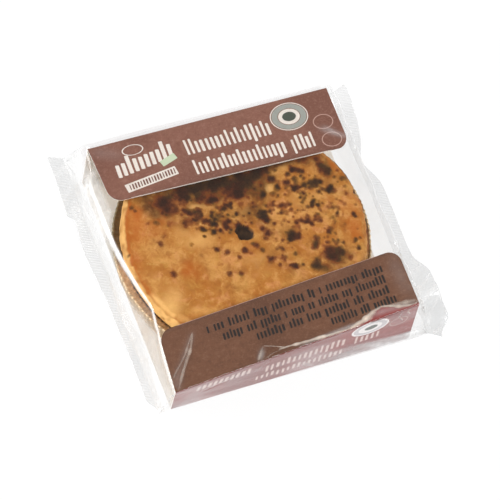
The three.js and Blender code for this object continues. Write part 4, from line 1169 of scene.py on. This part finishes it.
def film_sections(x_share):
    """Corner lines of the taut film over the pack at shares of its length, as (y, z) by name."""
    out = {}
    for name, (dy, dz) in {
            "near_base": (-FILM_OFF, FILM_BASE_Z), "near_fold": (-FILM_OFF, FILM_OFF),
            "near_edge": (0, FILM_OFF), "far_edge": (0, FILM_OFF), "far_fold": (0.2, FILM_OFF),
            "far_base": (0.6, FILM_BASE_Z)}.items():
        out[name] = edge_at(name, x_share)[:, 1:] + np.array([dy, dz])
    x = edge_at("near_base", x_share)[:, 0]
    slack = far_slack(x)
    out["lip"] = np.stack([slack + 0.6, out["far_fold"][:, 1] - 2.2], -1)
    out["lip_low"] = np.stack([slack - 0.6, np.full_like(x, 9.0)], -1)
    return out


def section_row(runs, sections, row):
    """The corners of one section."""
    return np.array([sections[name][row] for name, _ in runs])


def round_path(corners, shares, radius):
    """Points at given shares along a polyline of (y, z) corners, its corners eased."""
    lengths = path_lengths(corners)
    total = lengths[-1]
    return sum(along_path(corners, lengths, np.clip(shares * total + k * radius, 0, total))
               for k in (-1, -0.5, 0, 0.5, 1)) / 5


# The film's two sheets: the corners of their sections, and the steps of the run after each.
UPPER_RUNS = [("near_base", 58), ("near_fold", 62), ("near_edge", 120), ("far_edge", 60),
              ("far_fold", 10), ("lip", 0)]
LOWER_RUNS = [("lip", 20), ("lip_low", 8), ("far_base", 40), ("near_base", 0)]


def shares_along(runs, sections):
    """Shares along the middle section so that each run between corners gets its own count."""
    lengths = path_lengths(section_row(runs, sections, len(sections["lip"]) // 2))
    out = [0.0]
    for k, (_, count) in enumerate(runs[:-1]):
        out += list(np.linspace(lengths[k], lengths[k + 1], count + 1)[1:])
    return np.array(out) / lengths[-1]


def crumple(points, normals):
    """How far the film is pushed in from its taut form at each point, in millimetres."""
    x, y, z = points[..., 0], points[..., 1], points[..., 2]
    along = y + np.where(np.abs(normals[..., 1]) > 0.6, z, 0)
    end = np.maximum(smooth(50, 62, x), smooth(-50, -62, x))
    ear = smooth(52, 64, x) * smooth(-8, -40, y)
    base = 0.05 + 0.75 * end + 0.9 * ear
    push = base * facet_noise(x, along, 12, 91, 0.25, 1.5)
    push = push + 0.5 * base * facet_noise(x, along, 5.5, 94, -0.5, 1.8)
    push = push + 0.22 * base * facet_noise(x, along, 2.4, 97, 0.7, 1.4)
    push = push + 0.12 * smooth(-52, -60, y) * facet_noise(x, z, 7, 99, 0.1, 2.2)
    push = push + 0.10 * (1 - end) * facet_noise(x, along, 21, 102, -0.15, 1.6)
    for start, stop, width, height in CREASES:
        distance, t = segment_distance(points, film_place(start), film_place(stop))
        fade = np.sqrt(np.clip(4 * t * (1 - t) + 0.12, 0, 1))
        push = push + height * np.maximum(0, 1 - distance / width) * fade
    return push


def room_inside(points):
    """How far the film can go in before it meets the card."""
    x, y = points[..., 0], points[..., 1]
    open_top = smooth(-27, -24, y) * smooth(26, 23, y) * (points[..., 2] > 20)
    past_end = smooth(60.2, 61.4, np.abs(x))
    return 0.12 + 4 * np.maximum(open_top, past_end)


def wall_painted_reflection(x, y, z, normals):
    """Milky haze on the near wall's film that paints the white floor's reflection: a band along its
    foot towards the right, and softer patches.
    """
    wall = smooth(0.5, 0.9, np.abs(normals[..., 1])) * smooth(-50, -56, y)
    band_top = np.interp(x, (0, 15, 26, 45, 54), (16, 15, 13.5, 10, 8.5))
    band = np.interp(x, (-5, 0, 15, 26, 45, 58), (0, 0.06, 0.12, 0.28, 0.55, 0.66))
    soft = (0.16 * bump(x - 7, 10) * smooth(31, 25, z) + 0.14 * bump(x + 49, 7) * smooth(33, 26, z)
            + 0.10 * bump(x + 30, 9) * smooth(31, 25, z) * smooth(10, 16, z)
            + 0.12 * smooth(38, 44, x) * smooth(33, 30, z) * smooth(20, 24, z))
    return wall * (1 + 0.35 * facet_noise(x, z, 6, 155)) * (
        band * smooth(1.8, -1.8, z - band_top) + soft)


def film_milk_and_painted_light(points, normals, push):
    """How milky the film is: at its ends, on the near wall towards the base, and at creases; the
    near wall's haze is a painted reflection, and painted glare streaks, the fold's painted
    highlight and a painted light patch are milky too.
    """
    x, y, z = points[..., 0], points[..., 1], points[..., 2]
    top = z > 26
    behind = seen_radius(points)
    # the left end is milky; the bright line of its fold is a painted highlight, and the patch over
    # the sleeve's open end is painted light
    out = left_shoulder(y) - x
    left_end = smooth(-0.4, 1.6, out) * smooth(-57, -60, x)
    milky = (0.16 + 0.07 * facet_noise(x, y, 9, 151)
             + 0.10 * smooth(-40, -52, y) * smooth(34, 20, z))
    haze = 0.001 + left_end * milky * smooth(UNSEEN_R, SEEN_R, behind)
    width = np.interp(y, (-40, -26, -16, -4, 8, 16, 28, 44),
                      (0.6, 0.5, 0.7, 1.1, 1.3, 1.2, 0.7, 0.5))
    # painted highlight: the glint along the fold, drawn as a milky line
    line = smooth(0.45, -0.15, np.abs(out + 0.3) - width / 2) * top * smooth(47, 43, y)
    strength = np.interp(y, (-50, -20, 10, 30, 44), (0.35, 0.6, 0.75, 0.6, 0.3))
    haze = np.maximum(haze, line * strength)
    # painted light: a milky patch that brightens the shaded card inside the sleeve's open end
    painted_light_patch = (smooth(-54, -57, x + 4 * smooth(24, 30, y)) * smooth(14, 22, y)
              * smooth(52, 46, y) * top)
    haze = haze + 0.30 * painted_light_patch * smooth(61.0, 62.2, behind)
    haze = haze + smooth(59.5, 62, x) * (0.05 + 0.04 * facet_noise(x, y, 9, 152))
    # the painted reflection on the near wall
    haze = haze + wall_painted_reflection(x, y, z, normals)
    haze = haze + 0.03 * smooth(0.25, 0.7, push)
    # painted glare streaks
    for start, stop, reach, strength in PAINTED_GLARE_STREAKS:
        distance, t = segment_distance(points, film_place(start), film_place(stop))
        fade = np.sqrt(np.clip(4 * t * (1 - t) + 0.1, 0, 1))
        haze = haze + strength * bump(distance, reach) * fade
    return haze


def film_tint(points):
    """How grey the film is where it is crumpled in many layers: at its ends and its ear."""
    x, y, z = points[..., 0], points[..., 1], points[..., 2]
    along = y + 0.6 * z
    creased = facet_noise(x, along, 13, 171, 0.4, 1.6)
    creased = creased + 0.6 * facet_noise(x, along, 6, 174, -0.6, 1.8)
    fine = facet_noise(x, along, 3.6, 178, 0.9, 1.5)
    left = smooth(0.4, 2.2, left_shoulder(y) - x) * smooth(UNSEEN_R, SEEN_R, seen_radius(points))
    right = smooth(60, 62.5, x)
    ear = smooth(60, 66, x) * smooth(-16, -34, y)
    return (left * (0.12 + 0.17 * creased - 0.14 * smooth(-20, -40, y) + 0.10 * smooth(38, 46, y))
            + right * (0.04 + 0.13 * creased) + ear * (0.42 + 0.08 * creased + 0.20 * fine))


def ease_rows(grid, centre, reach=7, times=14):
    """Rounds a fold that runs along one row of a grid of points."""
    grid = grid.copy()
    first, last = centre - reach, centre + reach
    for _ in range(times):
        block = grid[first - 1:last + 2]
        grid[first:last + 1] = (block[:-2] + 2 * block[1:-1] + block[2:]) / 4
    return grid


def film_tube(runs, sections, shares):
    """The part of a sheet round the pack, section by section from the left."""
    places = shares_along(runs, sections)
    rows = []
    for row, share in enumerate(shares):
        path = round_path(section_row(runs, sections, row), places, 0.5)
        y, z = path.T
        top = smooth(6, 26, z)
        left = BAG_FOOT[0] * (1 - top) + left_shoulder(y) * top
        right = BAG_FOOT[1] * (1 - top) + right_shoulder(y) * top
        rows.append(np.column_stack([left + (right - left) * share, path]))
    return np.stack(rows)


def film_cap(edge, side, layer):
    """The sheet from the end of the tube to the seal."""
    near, far = SEAL_ENDS[side]
    low, high = edge[:, 1].min(), edge[:, 1].max()
    y = near + (far - near) * np.clip((edge[:, 1] - low) / (high - low), 0, 1)
    target = np.column_stack([seal_inner(y, side), y, seal_height(y, side) + layer * SEAL_LAYER])
    t = np.linspace(0, 1, CAP_ROWS)[:, None, None]
    sag = 0.9 * np.sin(np.pi * t) * np.clip((edge[:, 2] - 10) / 20, 0, 1)[None, :, None]
    sheet = edge[None] * (1 - t) + target[None] * t
    sheet[..., 0] += side * sag[..., 0] * 0.6
    if side < 0 and layer > 0:      # the tray's rim pushes the film out
        rim = bump(sheet[..., 2] - TRAY_RIM_Z + 1, 6)
        sheet[..., 0] -= 0.9 * rim * bump(sheet[..., 1] + 2, 26)
    return sheet


def film_sheet(runs, sections, shares, layer):
    """One sheet from seal to seal; the upper layer is 1 and the lower one -1."""
    body = film_tube(runs, sections, shares)
    left, right = film_cap(body[0], -1, layer), film_cap(body[-1], 1, layer)
    grid = np.concatenate([left[::-1], body[1:-1], right])
    return ease_rows(ease_rows(grid, len(left) - 1), len(grid) - len(right))


def make_film():
    """The bag: two crumpled sheets, the pinches on them and two seals."""
    clear = film_material("film_clear", (0.93, 0.93, 0.925, 1), 0.05)
    folded = film_material("film_folded", linear(246, 228, 210), 0.34)
    shares = np.linspace(0, 1, TUBE_ROWS)
    sections = film_sections(shares)
    upper = film_sheet(UPPER_RUNS, sections, shares, 1)
    lower = film_sheet(LOWER_RUNS, sections, shares, -1)

    # both sheets are crumpled by the same field, so their shared edges stay together
    upper_n, lower_n = -grid_normals(upper), -grid_normals(lower)
    for mine, other in ((0, -1), (-1, 0)):
        shared = unit(upper_n[:, mine] + lower_n[:, other])
        upper_n[:, mine] = shared
        lower_n[:, other] = shared
    at_seal = np.ones(len(upper))
    at_seal[:4] = np.linspace(0, 0.8, 4)
    at_seal[-4:] = np.linspace(0.8, 0, 4)
    for grid, normals, name in ((upper, upper_n, "film_over"), (lower, lower_n, "film_under")):
        push = crumple(grid, normals) * at_seal[:, None]
        inwards = np.minimum(np.maximum(push, -FILM_OUTWARDS), room_inside(grid))
        moved = grid + normals * inwards[..., None]
        moved[..., 2] = np.maximum(moved[..., 2], FILM_LOWEST_Z)
        piece = make_piece(name, moved, grid_faces(*moved.shape[:2]), [clear],
                           node="film_bag")
        # milky film, with painted reflection, glare, highlight and light in it
        add_shares(piece, haze=film_milk_and_painted_light(grid, normals, push), tint=film_tint(grid))
    make_pinches(folded)
    make_seal("film_seal_left", -1, clear)
    make_seal("film_seal_right", 1, clear)


def make_seal(name, side, material):
    """A flat crimped seal: two layers with ribs across them, joined at the cut edge."""
    rows, cols = 640, 17
    t = np.linspace(0, 1, rows)[:, None]
    w = np.linspace(0, 1, cols)[None, :]
    (near_in, far_in), (near_cut, far_cut) = SEAL_ENDS[side], SEAL_CUTS[side]
    y = (near_in + (far_in - near_in) * t) * (1 - w) + (near_cut + (far_cut - near_cut) * t) * w
    inner = seal_inner(y, side)
    x = inner + (seal_edge(y, side) - inner) * w
    crimp = np.abs((((y + 0.5 * (x - inner)) / SEAL_RIB) % 1) * 2 - 1) * smooth(0.06, 0.2, w)
    curl = 0.5 * soft_noise(y, x, 9, 111) * w
    if side > 0:        # the ear is crumpled, and its ribs are pulled flat
        crimp = crimp * (1 - 0.8 * smooth(-16, -30, y))
        crumpled = (0.4 * facet_noise(x, y, 7, 113, 0.3, 1.6)
                    + 0.4 * facet_noise(x, y, 3.4, 182, -0.5, 1.4))
        curl = curl + crumpled * smooth(-20, -36, y) * w
    z = seal_height(y, side) + 0.08 * crimp + curl
    top, under = (np.stack([x, y, z + k * SEAL_LAYER], -1) for k in (1, -1))
    grid = np.concatenate([top, under[:, ::-1]], 1)
    seal = make_piece(name, grid, grid_faces(rows, 2 * cols), [material])
    shade = np.concatenate([crimp, crimp[:, ::-1]], 1)
    x, y = grid[..., 0], grid[..., 1]
    ear = smooth(-20, -34, y) if side > 0 else smooth(30, 42, y) * 0.6
    creased = facet_noise(x, y, 10, 177, 0.5, 1.5)
    creased = creased + 0.8 * ear * facet_noise(x, y, 3.6, 179, 0.9, 1.5)
    lines = sum(smooth(0.10, 0.02, np.abs(facet_noise(x, y, cell, 183 + cell, 1.1, 2.2) - 0.15))
                for cell in (5, 9))
    add_shares(seal, haze=0.08 + 0.10 * shade + (0.07 + 0.10 * lines) * ear,
               tint=0.40 + 0.14 * creased - 0.14 * shade + (0.20 - 0.30 * lines) * ear)


# ---- floor and light -------------------------------------
def make_stage():
    """A wide floor that glows white and still takes a soft shadow."""
    n = Nodes("floor_white")
    diffuse = n.made("ShaderNodeBsdfDiffuse", Color=(0.08, 0.08, 0.08, 1))
    glow = n.made("ShaderNodeEmission", Strength=0.93)
    material = n.finish(n.fed(n.new("ShaderNodeAddShader"), diffuse, glow))
    half = 3000 * MM
    mesh = bpy.data.meshes.new("floor")
    mesh.from_pydata([(x * half, y * half, FLOOR_Z * MM)
                      for x, y in ((-1, -1), (1, -1), (1, 1), (-1, 1))], [], [(0, 1, 2, 3)])
    mesh.materials.append(material)
    floor = bpy.data.objects.new("floor", mesh)
    bpy.context.scene.collection.objects.link(floor)


def area_light(name, place, size, power):
    """A softbox that faces the pack; its size is its width and its height in metres."""
    data = bpy.data.lights.new(name, "AREA")
    data.shape, data.energy = "RECTANGLE", power
    data.size, data.size_y = size
    light = bpy.data.objects.new(name, data)
    bpy.context.scene.collection.objects.link(light)
    place = np.array(place, float)
    back = unit(place)
    right = unit(np.cross((0, 0, 1), back))
    light.matrix_world = placed(right, np.cross(back, right), back, place)


def make_light():
    """A dim cool surround and four softboxes."""
    world = bpy.data.worlds.new("studio")
    bpy.context.scene.world = world
    world.use_nodes = True
    background = world.node_tree.nodes["Background"]
    background.inputs["Color"].default_value = (0.97, 0.985, 1.0, 1)
    background.inputs["Strength"].default_value = 0.14
    area_light("softbox_left", (-1.05, 0.42, 0.55), (0.9, 0.9), 16.5)
    area_light("softbox_right", (1.2, -0.25, 0.8), (0.9, 0.9), 9.4)
    area_light("softbox_front", (0.3, -1.05, 0.95), (1.0, 0.7), 12.6)
    area_light("softbox_back", (-0.3, 1.35, 0.85), (0.9, 0.9), 9.4)
    bpy.context.scene.view_settings.view_transform = "Standard"
    bpy.context.scene.cycles.transparent_max_bounces = 24


add_camera()
make_stage()
make_light()
make_sleeve()
make_prints()
make_tray()
make_pie()
make_film()
